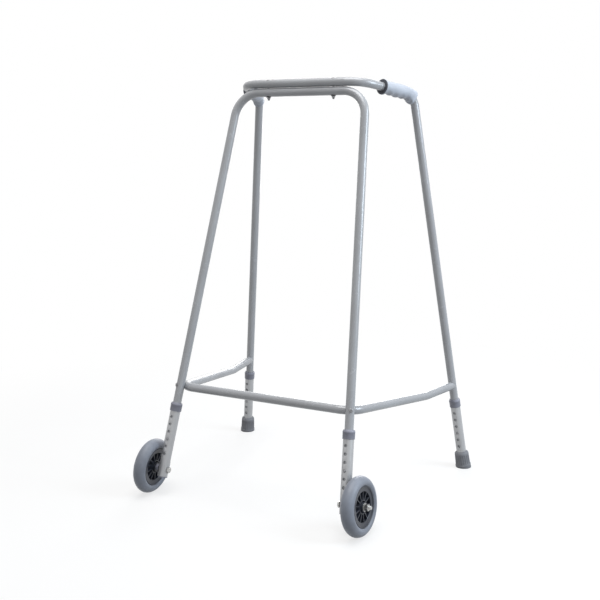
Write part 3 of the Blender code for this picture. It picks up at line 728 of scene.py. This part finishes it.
def makeFasteners():
    look = railBolt
    bolt = panBolt(
        "railBolt", look["headWide"] / 2, look["headHigh"], look["shank"], look["seat"], look["tip"],
        look["washerLow"] + look["threadOver"],
    )
    ring = ringOutline(look["shank"] + gap, look["washerWide"] / 2, look["washerLow"], look["washerHigh"])
    washer = turnPiece("railWasher", ring, steps=48)
    across = Matrix.Translation((0, 0, -2 * tubeR - gap)) @ Matrix.Rotation(math.pi / 2, 4, "Y")
    bar = roundBar("railBar", tubeR + gap, -look["washerBar"], look["washerBar"], across, sidesRound=64)
    cutWith(washer, bar)
    low = look["nutTop"] - look["nutHigh"]
    nut = hexNut("railNut", look["nutWide"], look["shank"] + gap, low, look["nutTop"])
    for label, side in sides.items():
        matrix = railBoltFrame(side)
        for piece, slot, finish, node in (
            (bolt, "zinc", dullSteel, "_rail_bolt"),
            (washer, "dark_plastic", darkPlastic, "_rail_washer"),
            (nut, "zinc", dullSteel, "_rail_nut"),
        ):
            made = copyOf(piece, label + piece.name[0].upper() + piece.name[1:], matrix)
            dress(made, "frame", slot, finish, label + node)
    for piece in (bolt, washer, nut):
        discard(piece)

    look = brace
    headR, headHigh, shank, seat = look["headWide"] / 2, look["headHigh"], look["shank"], look["seat"]
    for label, side in sides.items():
        matrix, spread = braceBoltFrame(side)
        high = -(spread + tubeR + 2 * gap)
        low = high - look["nutHigh"]
        threadTop = high + look["threadOver"]
        made = panBolt(label + "BraceBolt", headR, headHigh, shank, seat, low - look["tail"], threadTop)
        place(made, matrix)
        dress(made, "frame", "zinc", dullSteel, label + "_brace_front_bolt")
        made = hexNut(label + "BraceNut", look["nutWide"], shank + gap, low, high)
        place(made, matrix)
        dress(made, "frame", "zinc", dullSteel, label + "_brace_front_nut")
        tip, threadTop = look["screwTip"], look["screwThread"]
        made = panBolt(label + "BraceScrew", headR, headHigh, shank, seat, tip, threadTop, pointed=True)
        place(made, braceScrewFrame(side))
        dress(made, "frame", "zinc", dullSteel, label + "_brace_rear_screw")
        repaint(label + "_brace_end_plug", darkPlastic)
    print("bolts, screws and nuts made")


# Leg extensions: sleeve with its holes, collar, button, plug or foot

sleeve = {
    "radius": 0.0115, "wall": 0.0016, "holeR": 0.0035, "pitch": 0.017, "count": 6, "inUse": 3,
    "holeToTop": 0.0305, "rearEnd": 0.008, "belowAxle": 0.0163, "axleHoleR": 0.0043,
    "holeSpan": (0.005, 0.02), "axleHoleSpan": (-0.02, 0.02), "edge": 0.00025,
}
collar = {
    "radius": 0.0134, "lip": 0.0022, "skirt": 0.0168, "chamfer": 0.0012, "taper": 0.0042, "soft": 0.0004,
    "kink": 0.0002, "stepTop": 0.0062, "stepLow": 0.0066, "stepIn": 0.0003, "ease": 0.0006,
}
button = {"radius": 0.0030, "proud": 0.0014, "round": 0.0012, "base": 0.0075}
plug = {"flange": 0.0018, "stem": 0.0080, "bore": 0.0050, "ease": 0.0005, "slack": 0.0001, "lead": 0.0010}
foot = {
    "high": 0.041, "topR": 0.0135, "shoulderR": 0.01675, "shoulder": 0.0345, "shoulderOut": 0.0010,
    "baseR": 0.0185, "band": 0.0075, "ease": 0.0009, "rimEase": 0.0005, "topEase": 0.0006, "edge": 0.00035,
    "flutes": 20, "fluteParts": 4, "fluteDeep": 0.0008, "fluteInset": 0.00035,
    "fluteDrop": 0.0025, "fluteRise": 0.0015,
}
wheel = {"radius": 0.0625, "tyreWide": 0.0305, "out": 0.03165}


def axleHeight(leg, side):
    crown = wheel["tyreWide"] / 2
    lean = leg.col[0].z * side
    centre = (wheel["radius"] - crown) * math.sqrt(1 - lean**2) + crown
    return (centre - wheel["out"] * lean) / leg.col[2].z


def makeSleeve(name, pin, end, axle=None):
    top = pin + sleeve["inUse"] * sleeve["pitch"] + sleeve["holeToTop"]
    inner = sleeve["radius"] - sleeve["wall"]
    made = turnPiece(name, ringOutline(inner, sleeve["radius"], end, top), steps=72)
    lowest = pin - (sleeve["count"] - 1 - sleeve["inUse"]) * sleeve["pitch"]
    turn = Matrix.Rotation(math.pi / 2, 4, "X")
    holes = []
    for index in range(sleeve["count"]):
        spot = Matrix.Translation((0, 0, lowest + sleeve["pitch"] * index))
        holes.append(roundBar("hole", sleeve["holeR"], *sleeve["holeSpan"], spot @ turn))
    if axle:
        turn = Matrix.Translation((0, 0, axle)) @ Matrix.Rotation(math.pi / 2, 4, "Y")
        holes.append(roundBar("hole", sleeve["axleHoleR"], *sleeve["axleHoleSpan"], turn))
    cutWith(made, joinAll(holes))
    roundEdges(made, sleeve["edge"], limit=40)
    return made, top


def makeCollar(name, top):
    lip = top + gap + collar["lip"]
    low = top - collar["skirt"]
    outer, skirtR = collar["radius"], collar["radius"] - collar["stepIn"]
    soft, kink, ease = collar["soft"], collar["kink"], collar["ease"]
    outline = [
        (tubeR + gap, lip - soft),
        (tubeR + gap + soft, lip),
        (outer - collar["chamfer"] - soft, lip),
        (outer - collar["chamfer"], lip - soft),
        (outer - kink, lip - collar["taper"] + soft),
        (outer, lip - collar["taper"] - kink),
    ]
    # a faint step where the skirt begins
    outline += [(outer, lip - collar["stepTop"]), (skirtR, lip - collar["stepLow"]), (skirtR, low + ease)]
    outline += arcPoints(skirtR - ease, low + ease, ease, -10, -90, 4)
    outline += [
        (sleeve["radius"] + gap, low),
        (sleeve["radius"] + gap, top + gap),
        (tubeR + gap, top + gap),
    ]
    return turnPiece(name, outline, steps=72)


def makeButton(name):
    tip = sleeve["radius"] + button["proud"]
    curve = button["round"]
    outline = [(0, tip)]
    outline += arcPoints(button["radius"] - curve, tip - curve, curve, 84, 0, 6)
    outline += [(button["radius"], button["base"]), (0, button["base"])]
    return turnPiece(name, outline, steps=32)


def makePlug(name, end):
    end -= gap
    stem = sleeve["radius"] - sleeve["wall"] - gap - plug["slack"]
    low = end - plug["flange"]
    top = end + plug["stem"]
    ease = plug["ease"]
    outline = [(plug["bore"], top), (stem - ease, top)]
    outline += [(stem, top - plug["lead"]), (stem, end), (sleeve["radius"], end)]
    outline += arcPoints(sleeve["radius"] - ease, low + ease, ease, 0, -90, 4)
    outline += [(plug["bore"] + ease, low), (plug["bore"], low + ease)]
    return turnPiece(name, outline)


# a ferrule with upright flutes, a bevelled shoulder and a plain band at its base, cut level with the floor
def makeFoot(name, leg):
    inner = sleeve["radius"] + gap
    seat = sleeve["rearEnd"] - gap
    ease, rim = foot["ease"], foot["rimEase"]
    low = foot["band"] + ease
    fluteTop = foot["shoulder"] - foot["fluteDrop"]
    fluteLow = low + foot["fluteRise"]
    parts = foot["flutes"] * foot["fluteParts"]

    def bodyR(height):
        share = (foot["shoulder"] - height) / (foot["shoulder"] - low)
        return foot["shoulderR"] + (foot["baseR"] - ease - foot["shoulderR"]) * share

    outline = [(0, seat), (inner, seat), (inner, foot["high"] - rim), (inner + rim, foot["high"])]
    outline += [(foot["topR"] - foot["topEase"], foot["high"]), (foot["topR"], foot["high"] - rim)]
    middle = (foot["topR"] + foot["shoulderR"]) / 2 + foot["shoulderOut"]
    outline += [(middle, (foot["high"] + foot["shoulder"]) / 2), (foot["shoulderR"], foot["shoulder"])]
    outline += [(bodyR(fluteTop), fluteTop), (bodyR(fluteLow), fluteLow), (foot["baseR"] - ease, low)]
    # below the floor there is spare length, as the leg leans
    outline += [(foot["baseR"], foot["band"]), (foot["baseR"], -foot["baseR"]), (0, -foot["baseR"])]
    made = turnPiece(name, outline, steps=parts)
    startEdit(made)

    def onFlute(spot):
        if not fluteLow < spot.z < fluteTop or spot.xy.length < foot["topR"]:
            return False
        angle = math.atan2(spot.y, spot.x) / (2 * math.pi) % 1
        return int(angle * parts) % foot["fluteParts"] in (0, 1)

    pick(made, onFlute, "FACE")
    bpy.ops.mesh.inset(thickness=foot["fluteInset"], use_boundary=True)
    bpy.ops.transform.shrink_fatten(value=-foot["fluteDeep"])
    leaveEdit()
    place(made, leg)
    startEdit(made)
    bpy.ops.mesh.select_all(action="SELECT")
    bpy.ops.mesh.bisect(plane_co=(0, 0, 0), plane_no=(0, 0, -1), use_fill=True, clear_outer=True)
    tidyMesh()
    leaveEdit()
    roundEdges(made, foot["edge"], limit=50)
    return made


def makeLegs():
    knob = makeButton("snapButton")
    for label, side in sides.items():
        for end, leg, pin in (
            ("Front", frontLeg(side), walker["frontPin"]),
            ("Rear", rearLeg(side), walker["rearPin"]),
        ):
            node = label + "_" + end.lower()
            body = node + "_leg"
            metal = makeFinish("sleeveMetal", label + end + "Aluminium", leg)
            if end == "Front":
                axle = axleHeight(leg, side)
                lowest = axle - sleeve["belowAxle"]
                tube, top = makeSleeve(label + end + "Sleeve", pin, lowest, axle)
                tip = makePlug(label + "FrontPlug", lowest)
                place(tip, leg)
                dress(tip, body, "grey_plastic", greyPlastic, node + "_extension_plug")
            else:
                tube, top = makeSleeve(label + end + "Sleeve", pin, sleeve["rearEnd"])
                tip = makeFoot(label + "RearFoot", leg)
                dress(tip, body, "foot_rubber", footRubber, node + "_foot")
            place(tube, leg)
            dress(tube, body, "sleeve_metal", metal, node + "_leg_extension")
            ring = makeCollar(label + end + "Collar", top)
            place(ring, leg)
            dress(ring, body, "grey_plastic", greyPlastic, node + "_extension_collar")
            turn = Matrix.Translation((0, 0, pin)) @ Matrix.Rotation(math.pi / 2, 4, "X")
            made = copyOf(knob, label + end + "Button", leg @ turn)
            dress(made, node + "_button", "zinc", dullSteel, node + "_snap_button")
            repaint(node + "_button_spring", springSteel)
    discard(knob)
    print("leg extensions made")


# Wheels, modelled about Z and set on their axles; edges are offsets from a corner, outwards and up

tyre = {
    "treadIn": 0.00014, "seatUp": 0.0011, "mould": ((0.0, 0.0005), (0.00013, 0.0001)),
    "side": ((-0.0002, -0.0007), (-0.0017, -0.0016)),
    "bead": ((0.0010, 0.0006), (0.0004, 0.0001), (0.0, -0.0005)),
}
hub = {
    "radius": 0.043, "half": 0.0113, "rim": 0.0028, "face": 0.0315, "faceHalf": 0.0104, "web": 0.0020,
    "ringR": 0.0150, "ringThick": 0.0020, "ringHalf": 0.0096, "bossR": 0.010, "bossHalf": 0.0125,
    "bore": 0.0066, "spokes": 13, "slotWide": 0.0098, "slotIn": 0.0175, "slotOut": 0.0300,
    "slotTaper": 0.56, "slotRound": 0.0014, "slotHigh": 6,
    "ribWide": 0.0019, "ribHalf": 0.0088, "ribIn": 0.0142, "ribOut": 0.0325, "edge": 0.00030,
    "rimOuter": ((0.0, 0.0002), (-0.0008, 0.0010)), "rimInner": ((0.0006, 0.0010), (0.0, 0.0004)),
    "faceOuter": ((-0.0003, 0.0002), (-0.0006, 0.0)), "faceInner": ((0.0007, 0.0), (0.0, -0.0007)),
    "webOuter": ((-0.0004, 0.0006), (-0.0010, 0.0)), "webInner": ((0.0006, 0.0), (0.0, 0.0008)),
    "ringDraft": 0.0004, "bossDraft": 0.0003,
}
axleBolt = {
    "radius": 0.0040, "headR": 0.00725, "headHigh": 0.0038, "headSeat": -0.04345, "tip": 0.0286,
    "washerR": 0.0085, "washerThick": 0.0015, "washerEase": 0.0002, "nutWide": 0.0148, "nutHigh": 0.0078,
    "spacerR": 0.0070, "spacerLow": -0.01985, "tipEase": 0.0008, "firstIn": 0.0001, "threadStart": 0.0010,
    "threadEnd": 0.0130, "pitch": 0.00115, "threadDeep": 0.0006,
    "coreR": 0.0012, "coreBore": 0.0005, "coreLow": 0.0004, "coreOver": 0.001,
}


def wheelFrame(side):
    leg = frontLeg(side)
    out = leg.col[0].xyz * side
    up = (floorUp - out * out.z).normalized()
    centre = leg @ Vector((side * wheel["out"], 0, axleHeight(leg, side)))
    turn = Matrix((-up, out.cross(-up), out)).transposed().to_4x4()
    return Matrix.Translation(centre) @ turn


def makeTyre(name):
    crown = wheel["tyreWide"] / 2
    middle = wheel["radius"] - crown
    tread = crown - tyre["treadIn"]
    outline = arcPoints(middle, 0, tread, 84, 3, 13)
    # the mould line round the middle of the tread
    outline += cornerPoints(middle + tread, 0, tyre["mould"])
    outline += [(radius, -height) for radius, height in outline[::-1]]
    side = cornerPoints(middle, crown, tyre["side"])
    side += cornerPoints(hub["radius"] + gap, hub["half"] + tyre["seatUp"], tyre["bead"])
    outline += [(radius, -height) for radius, height in side]
    outline += side[::-1]
    return turnPiece(name, outline, steps=120)


# narrower towards the middle of the hub, with round corners
def hubSlot():
    middle = (hub["slotIn"] + hub["slotOut"]) / 2
    size = (hub["slotOut"] - hub["slotIn"], hub["slotWide"], hub["slotHigh"] * hub["web"])
    slot = block("hubSlot", size, (middle, 0, 0))
    startEdit(slot)
    pick(slot, lambda spot: spot.x < middle)
    bpy.ops.transform.resize(value=(1, hub["slotTaper"], 1))
    pick(slot, lambda run: abs(run.z) > hub["web"], "EDGE")
    bpy.ops.mesh.bevel(offset=hub["slotRound"], segments=4)
    leaveEdit()
    return slot


# a slotted disc, its rim and face stepped, with a blade between each two slots
def makeHub(name):
    rimIn = hub["radius"] - hub["rim"]
    ringIn = hub["ringR"] - hub["ringThick"]
    half = cornerPoints(hub["radius"], hub["half"], hub["rimOuter"])
    half += cornerPoints(rimIn, hub["half"], hub["rimInner"])
    half += cornerPoints(rimIn, hub["faceHalf"], hub["faceOuter"])
    half += cornerPoints(hub["face"], hub["faceHalf"], hub["faceInner"])
    half += cornerPoints(hub["face"], hub["web"], hub["webOuter"])
    half += cornerPoints(hub["ringR"], hub["web"], hub["webInner"])
    half += [(hub["ringR"] - hub["ringDraft"], hub["ringHalf"]), (ringIn, hub["ringHalf"])]
    half += [(ringIn, hub["web"]), (hub["bossR"], hub["web"])]
    half += [(hub["bossR"] - hub["bossDraft"], hub["bossHalf"]), (hub["bore"], hub["bossHalf"])]
    made = turnPiece(name, [(radius, -height) for radius, height in half] + half[::-1], steps=96)
    slot = hubSlot()
    size = (hub["ribOut"] - hub["ribIn"], hub["ribWide"], 2 * hub["ribHalf"])
    rib = block("hubRib", size, ((hub["ribIn"] + hub["ribOut"]) / 2, 0, 0))
    step = 2 * math.pi / hub["spokes"]
    slots = []
    ribs = []
    for index in range(hub["spokes"]):
        slots.append(copyOf(slot, "hubSlot", Matrix.Rotation(step * (index + 0.5), 4, "Z")))
        ribs.append(copyOf(rib, "hubRib", Matrix.Rotation(step * (index + 1), 4, "Z")))
    discard(slot)
    discard(rib)
    cutWith(made, joinAll(slots))
    cutWith(made, joinAll(ribs), "UNION")
    roundEdges(made, hub["edge"], limit=45)
    return made


def makeAxle(name):
    look = axleBolt
    radius, tip, seat = look["radius"], look["tip"], look["headSeat"]
    outline = [(0, tip), (radius - look["tipEase"], tip), (radius - look["firstIn"], tip - look["tipEase"])]
    at = tip - look["threadStart"]
    while at > look["threadEnd"]:
        outline += [(radius - look["threadDeep"], at - look["pitch"] * 0.5), (radius, at - look["pitch"])]
        at -= look["pitch"]
    outline += [(radius, seat), (0, seat)]
    made = turnPiece(name, outline, steps=40)
    headLow = seat - look["headHigh"]
    head = hexNut("axleHead", 2 * look["headR"], look["coreBore"], headLow, seat)
    coreLow, coreHigh = headLow + look["coreLow"], seat + look["coreOver"]
    core = roundBar("headCore", look["coreR"], coreLow, coreHigh, sidesRound=24)
    cutWith(head, core, "UNION")
    cutWith(made, head, "UNION")
    return made


def makeWheels():
    look = axleBolt
    hubEnd = hub["bossHalf"] + gap
    washerEnd = hubEnd + look["washerThick"]
    nutSeat = washerEnd + gap
    bore = look["radius"] + gap
    outline = ringOutline(bore, look["spacerR"], look["spacerLow"], -hubEnd)
    spacer = turnPiece("axleSpacer", outline, steps=48)
    outline = ringOutline(bore, look["washerR"], hubEnd, washerEnd, look["washerEase"])
    washer = turnPiece("axleWasher", outline, steps=48)
    nut = hexNut("axleNut", look["nutWide"], bore, nutSeat, nutSeat + look["nutHigh"])
    models = {
        "Tyre": (makeTyre("tyre"), "wheel", "tyre_rubber", tyreRubber, "_tyre"),
        "Hub": (makeHub("hub"), "wheel", "black_plastic", blackPlastic, "_wheel_hub"),
        "AxleBolt": (makeAxle("axleBolt"), "front_leg", "zinc", zinc, "_axle_bolt"),
        "AxleSpacer": (spacer, "front_leg", "grey_plastic", greyPlastic, "_axle_spacer"),
        "AxleWasher": (washer, "front_leg", "zinc", zinc, "_axle_washer"),
        "AxleNut": (nut, "front_leg", "zinc", zinc, "_axle_nut"),
    }
    for label, side in sides.items():
        matrix = wheelFrame(side)
        for title, (piece, body, slot, finish, node) in models.items():
            made = copyOf(piece, label + title, matrix)
            dress(made, label + "_" + body, slot, finish, label + node)
        repaint(label + "_hub_bush", greyPlastic)
    for model in models.values():
        discard(model[0])
    print("wheels made")


# Handgrips: a ring drawn along the handle, its underside pushed in between the fingers

grip = {
    "start": 0.0667, "end": 0.1735, "frontR": 0.0141, "rearR": 0.0130, "belly": 0.0024, "bellyRun": 1.05,
    "sides": 56, "ring": 0.0015, "bodyStart": 0.0012,
    "flangeR": 0.01725, "flangeLong": 0.0045, "faceIn": 0.0016, "neck": (0.0004, 0.0005),
    "flangeNear": ((0.0004, -0.0006), (0.0013, 0.0)),
    "flangeFar": ((-0.0010, 0.0), (-0.0003, -0.0005), (0.0, -0.0013)),
    "rearRim": ((0.0006, -0.0003), (0.0009, -0.0011)),
    "fingers": 5, "fingerDeep": 0.0019, "fingerHalf": 0.0016, "fingerUnder": 0.95, "fingerFade": 0.52,
    "heelHalf": 0.0024, "heelUnder": 0.55, "heelDrop": 0.0098, "heelFade": 0.030,
    "leanUnder": 1.25, "heelLean": 0.0095, "leanFade": 0.020,
    "boreBefore": 0.02, "boreAfter": 0.07, "faceHalf": 0.0003,
}


def makeGrip(name, side):
    front, rear = handleCorner(side), rearCorner(side)
    below = rearLeg(side).to_translation()
    run = (rear - front).normalized()
    start = front + run * grip["start"]
    length = grip["end"] - grip["start"]
    flange, flangeR = grip["flangeLong"], grip["flangeR"]
    reached = [0, flangeR - grip["faceIn"]]
    clearSelection()
    bpy.ops.mesh.primitive_circle_add(
        vertices=grip["sides"], radius=reached[1], location=start,
        rotation=floorUp.rotation_difference(run).to_euler(), fill_type="NGON",
    )
    made = bpy.context.object
    made.name = name
    settle()
    bpy.ops.object.mode_set(mode="EDIT")
    bpy.ops.mesh.select_mode(type="EDGE")
    bpy.ops.mesh.select_all(action="SELECT")

    # draws the ring out to a distance along the handle, at a radius
    def pull(distance, radius):
        move = run * (distance - reached[0])
        bpy.ops.mesh.extrude_edges_move(TRANSFORM_OT_translate={"value": move})
        ratio = radius / reached[1]
        bpy.ops.transform.resize(value=(ratio,) * 3, center_override=start + run * distance)
        reached[:] = [distance, radius]

    for on, out in grip["flangeNear"]:
        pull(on, flangeR + out)
    for on, out in grip["flangeFar"]:
        pull(flange + on, flangeR + out)
    pull(flange + grip["neck"][0], grip["frontR"] + grip["neck"][1])
    body = length - flange - grip["bodyStart"]
    count = round(body / grip["ring"])
    for step in range(count + 1):
        share = step / count
        swell = grip["belly"] * math.sin(math.pi * min(1, share * grip["bellyRun"]))
        radius = grip["frontR"] + (grip["rearR"] - grip["frontR"]) * share + swell
        pull(flange + grip["bodyStart"] + body * share, radius)
    # the rim at the rear end, eased over its edge and closed
    for on, out in grip["rearRim"]:
        pull(length + on, grip["rearR"] + out)
    bpy.ops.mesh.edge_face_add()
    tidyMesh()

    down = (run * run.z - floorUp).normalized()

    def underside(distance, half, share):
        def test(spot):
            reach = spot - start
            far = reach.dot(run)
            depth = (reach - run * far).dot(down)
            return abs(far - distance) < half and depth > grip["rearR"] * share
        return test

    def nudge(move, fade):
        bpy.ops.transform.translate(
            value=move, use_proportional_edit=True, proportional_edit_falloff="SMOOTH", proportional_size=fade
        )

    usable = length - flange
    for finger in range(grip["fingers"]):
        groove = flange + usable * (finger + 0.5) / grip["fingers"]
        pick(made, underside(groove, grip["fingerHalf"], grip["fingerUnder"]))
        nudge(down * -grip["fingerDeep"], usable / grip["fingers"] * grip["fingerFade"])
    # the heel hangs lower and leans forwards, where the tube turns down
    pick(made, underside(length, grip["heelHalf"], grip["heelUnder"]))
    nudge(down * grip["heelDrop"], grip["heelFade"])
    pick(made, underside(length, grip["heelHalf"], grip["leanUnder"]))
    nudge(run * -grip["heelLean"], grip["leanFade"])
    leaveEdit()
    before = front + run * (grip["start"] - grip["boreBefore"])
    after = rear + (below - rear).normalized() * grip["boreAfter"]
    bore = bentTube("gripBore", [before, rear, after], [walker["handleBend"]], tubeR + gap)
    closeEnds(bore)
    cutWith(made, bore)
    made.data.materials.append(gripRubber)
    made.data.materials.append(gripFace)
    # the flange's front face takes the near-black second material, painted shade where that face turns from
    # the lamps
    startEdit(made)
    pick(made, lambda spot: (spot - start).dot(run) < grip["faceHalf"], "FACE")
    made.active_material_index = 1
    bpy.ops.object.material_slot_assign()
    leaveEdit()
    return made


def makeGrips():
    for label, side in sides.items():
        made = makeGrip(label + "Grip", side)
        dress(made, "frame", "grip_rubber", gripRubber, label + "_handgrip", smooth=45)
    print("handgrips made")


# Camera, floor, world and lamps

view = {
    "place": (1.0690, -1.9149, 0.8255), "azimuth": 29.06, "elevation": 10.18, "roll": -0.46, "lens": 58.45,
}
studio = {
    "ambient": 0.22, "floorShow": 0.30, "floorFade": (0.7, 1.5), "floorSeen": 0.92, "floorBounce": 0.26,
    "floorTop": 0.03, "floorRadius": 4, "floorRough": 0.9, "sky": (0.95, 0.97, 1.0), "aim": (0, 0, 0.45),
}
lamps = {
    "top": {"place": (0.1, -0.4, 3.4), "size": 2.4, "power": 82, "colour": (1.0, 0.995, 0.985)},
    "right": {"place": (2.1, 0.40, 1.45), "size": 1.2, "power": 34, "colour": (0.80, 0.905, 1.0)},
    "back": {"place": (-1.0, 2.7, 1.2), "size": 1.6, "power": 30, "colour": (1.0, 0.99, 0.98)},
}


def makeCamera():
    azimuth, elevation, roll = (math.radians(view[key]) for key in ("azimuth", "elevation", "roll"))
    level = math.cos(elevation)
    look = Vector((-math.sin(azimuth) * level, math.cos(azimuth) * level, -math.sin(elevation)))
    right = Vector((math.cos(azimuth), math.sin(azimuth), 0))
    up = right.cross(look)
    tilted = right * math.cos(roll) + up * math.sin(roll)
    head = up * math.cos(roll) - right * math.sin(roll)
    bpy.ops.object.camera_add()
    camera = bpy.context.object
    turn = Matrix((tilted, head, -look)).transposed().to_4x4()
    camera.matrix_world = Matrix.Translation(view["place"]) @ turn
    camera.data.sensor_width = 36
    camera.data.lens = view["lens"]
    bpy.context.scene.camera = camera


# 1 where the camera, a mirror or glass looks, and 0 for the light that falls on things
def seenPlainly(tree):
    path = addNode(tree, "ShaderNodeLightPath")
    first = addNode(tree, "ShaderNodeMath", operation="MAXIMUM")
    link(path, "Is Camera Ray", first, 0)
    link(path, "Is Glossy Ray", first, 1)
    both = addNode(tree, "ShaderNodeMath", operation="MAXIMUM")
    link(first, 0, both, 0)
    link(path, "Is Transmission Ray", both, 1)
    return both


def mixed(tree, share, first, second):
    mix = addNode(tree, "ShaderNodeMixShader")
    link(share, 0, mix, 0)
    link(first, 0, mix, 1)
    link(second, 0, mix, 2)
    return mix


def makeWorld():
    world = bpy.data.worlds.new("studio")
    bpy.context.scene.world = world
    world.use_nodes = True
    tree = world.node_tree
    tree.nodes.clear()
    sky = {"Color": (*studio["sky"], 1), "Strength": studio["ambient"]}
    soft = addNode(tree, "ShaderNodeBackground", sky)
    white = addNode(tree, "ShaderNodeBackground", {"Color": (1, 1, 1, 1), "Strength": 1})
    out = addNode(tree, "ShaderNodeOutputWorld")
    link(mixed(tree, seenPlainly(tree), soft, white), 0, out, "Surface")


# a matt floor that fades to white away from the walker and keeps its shadow
def makeFloor():
    clearSelection()
    bpy.ops.mesh.primitive_circle_add(vertices=96, radius=studio["floorRadius"], fill_type="NGON")
    ground = bpy.context.object
    ground.name = "studioFloor"
    material = bpy.data.materials.new("studioFloor")
    material.use_nodes = True
    tree = material.node_tree
    matt = tree.nodes["Principled BSDF"]
    matt.inputs["Roughness"].default_value = studio["floorRough"]
    seen = seenPlainly(tree)
    tone = fitted(tree, seen, 0, (0, 1), studio["floorBounce"], studio["floorSeen"])
    link(tone, "Result", matt, "Base Color")
    far = addNode(tree, "ShaderNodeVectorMath", operation="LENGTH")
    link(addNode(tree, "ShaderNodeTexCoord"), "Object", far, 0)
    least = 1 - studio["floorShow"]
    fade = fitted(tree, far, "Value", studio["floorFade"], least, 1, interpolation_type="SMOOTHSTEP")
    share = addNode(tree, "ShaderNodeMath", operation="MULTIPLY")
    link(fade, "Result", share, 0)
    link(seen, 0, share, 1)
    glow = addNode(tree, "ShaderNodeEmission", {"Strength": 1})
    link(mixed(tree, share, matt, glow), 0, tree.nodes["Material Output"], "Surface")
    ground.data.materials.append(material)
    # the floor lies under the lowest leg, so a leg let down at a pose doesn't sink in it
    ground.location.z = studio["floorTop"]
    for side in ("left", "right"):
        for end in ("front", "rear"):
            under = ground.constraints.new("FLOOR")
            under.target = frame["bodies"][side + "_" + end + "_leg"]
            under.floor_location = "FLOOR_NEGATIVE_Z"


def makeLamps():
    aim = Vector(studio["aim"])
    for name, lamp in lamps.items():
        bpy.ops.object.light_add(type="AREA", location=lamp["place"])
        made = bpy.context.object
        made.name = name
        made.data.size = lamp["size"]
        made.data.energy = lamp["power"]
        made.data.color = lamp["colour"]
        made.rotation_euler = (aim - made.location).to_track_quat("-Z", "Y").to_euler()


makeFrame()
makeFasteners()
makeLegs()
makeWheels()
makeGrips()
makeCamera()
makeWorld()
makeFloor()
makeLamps()
bpy.context.scene.view_settings.view_transform = "Standard"
print("studio ready")
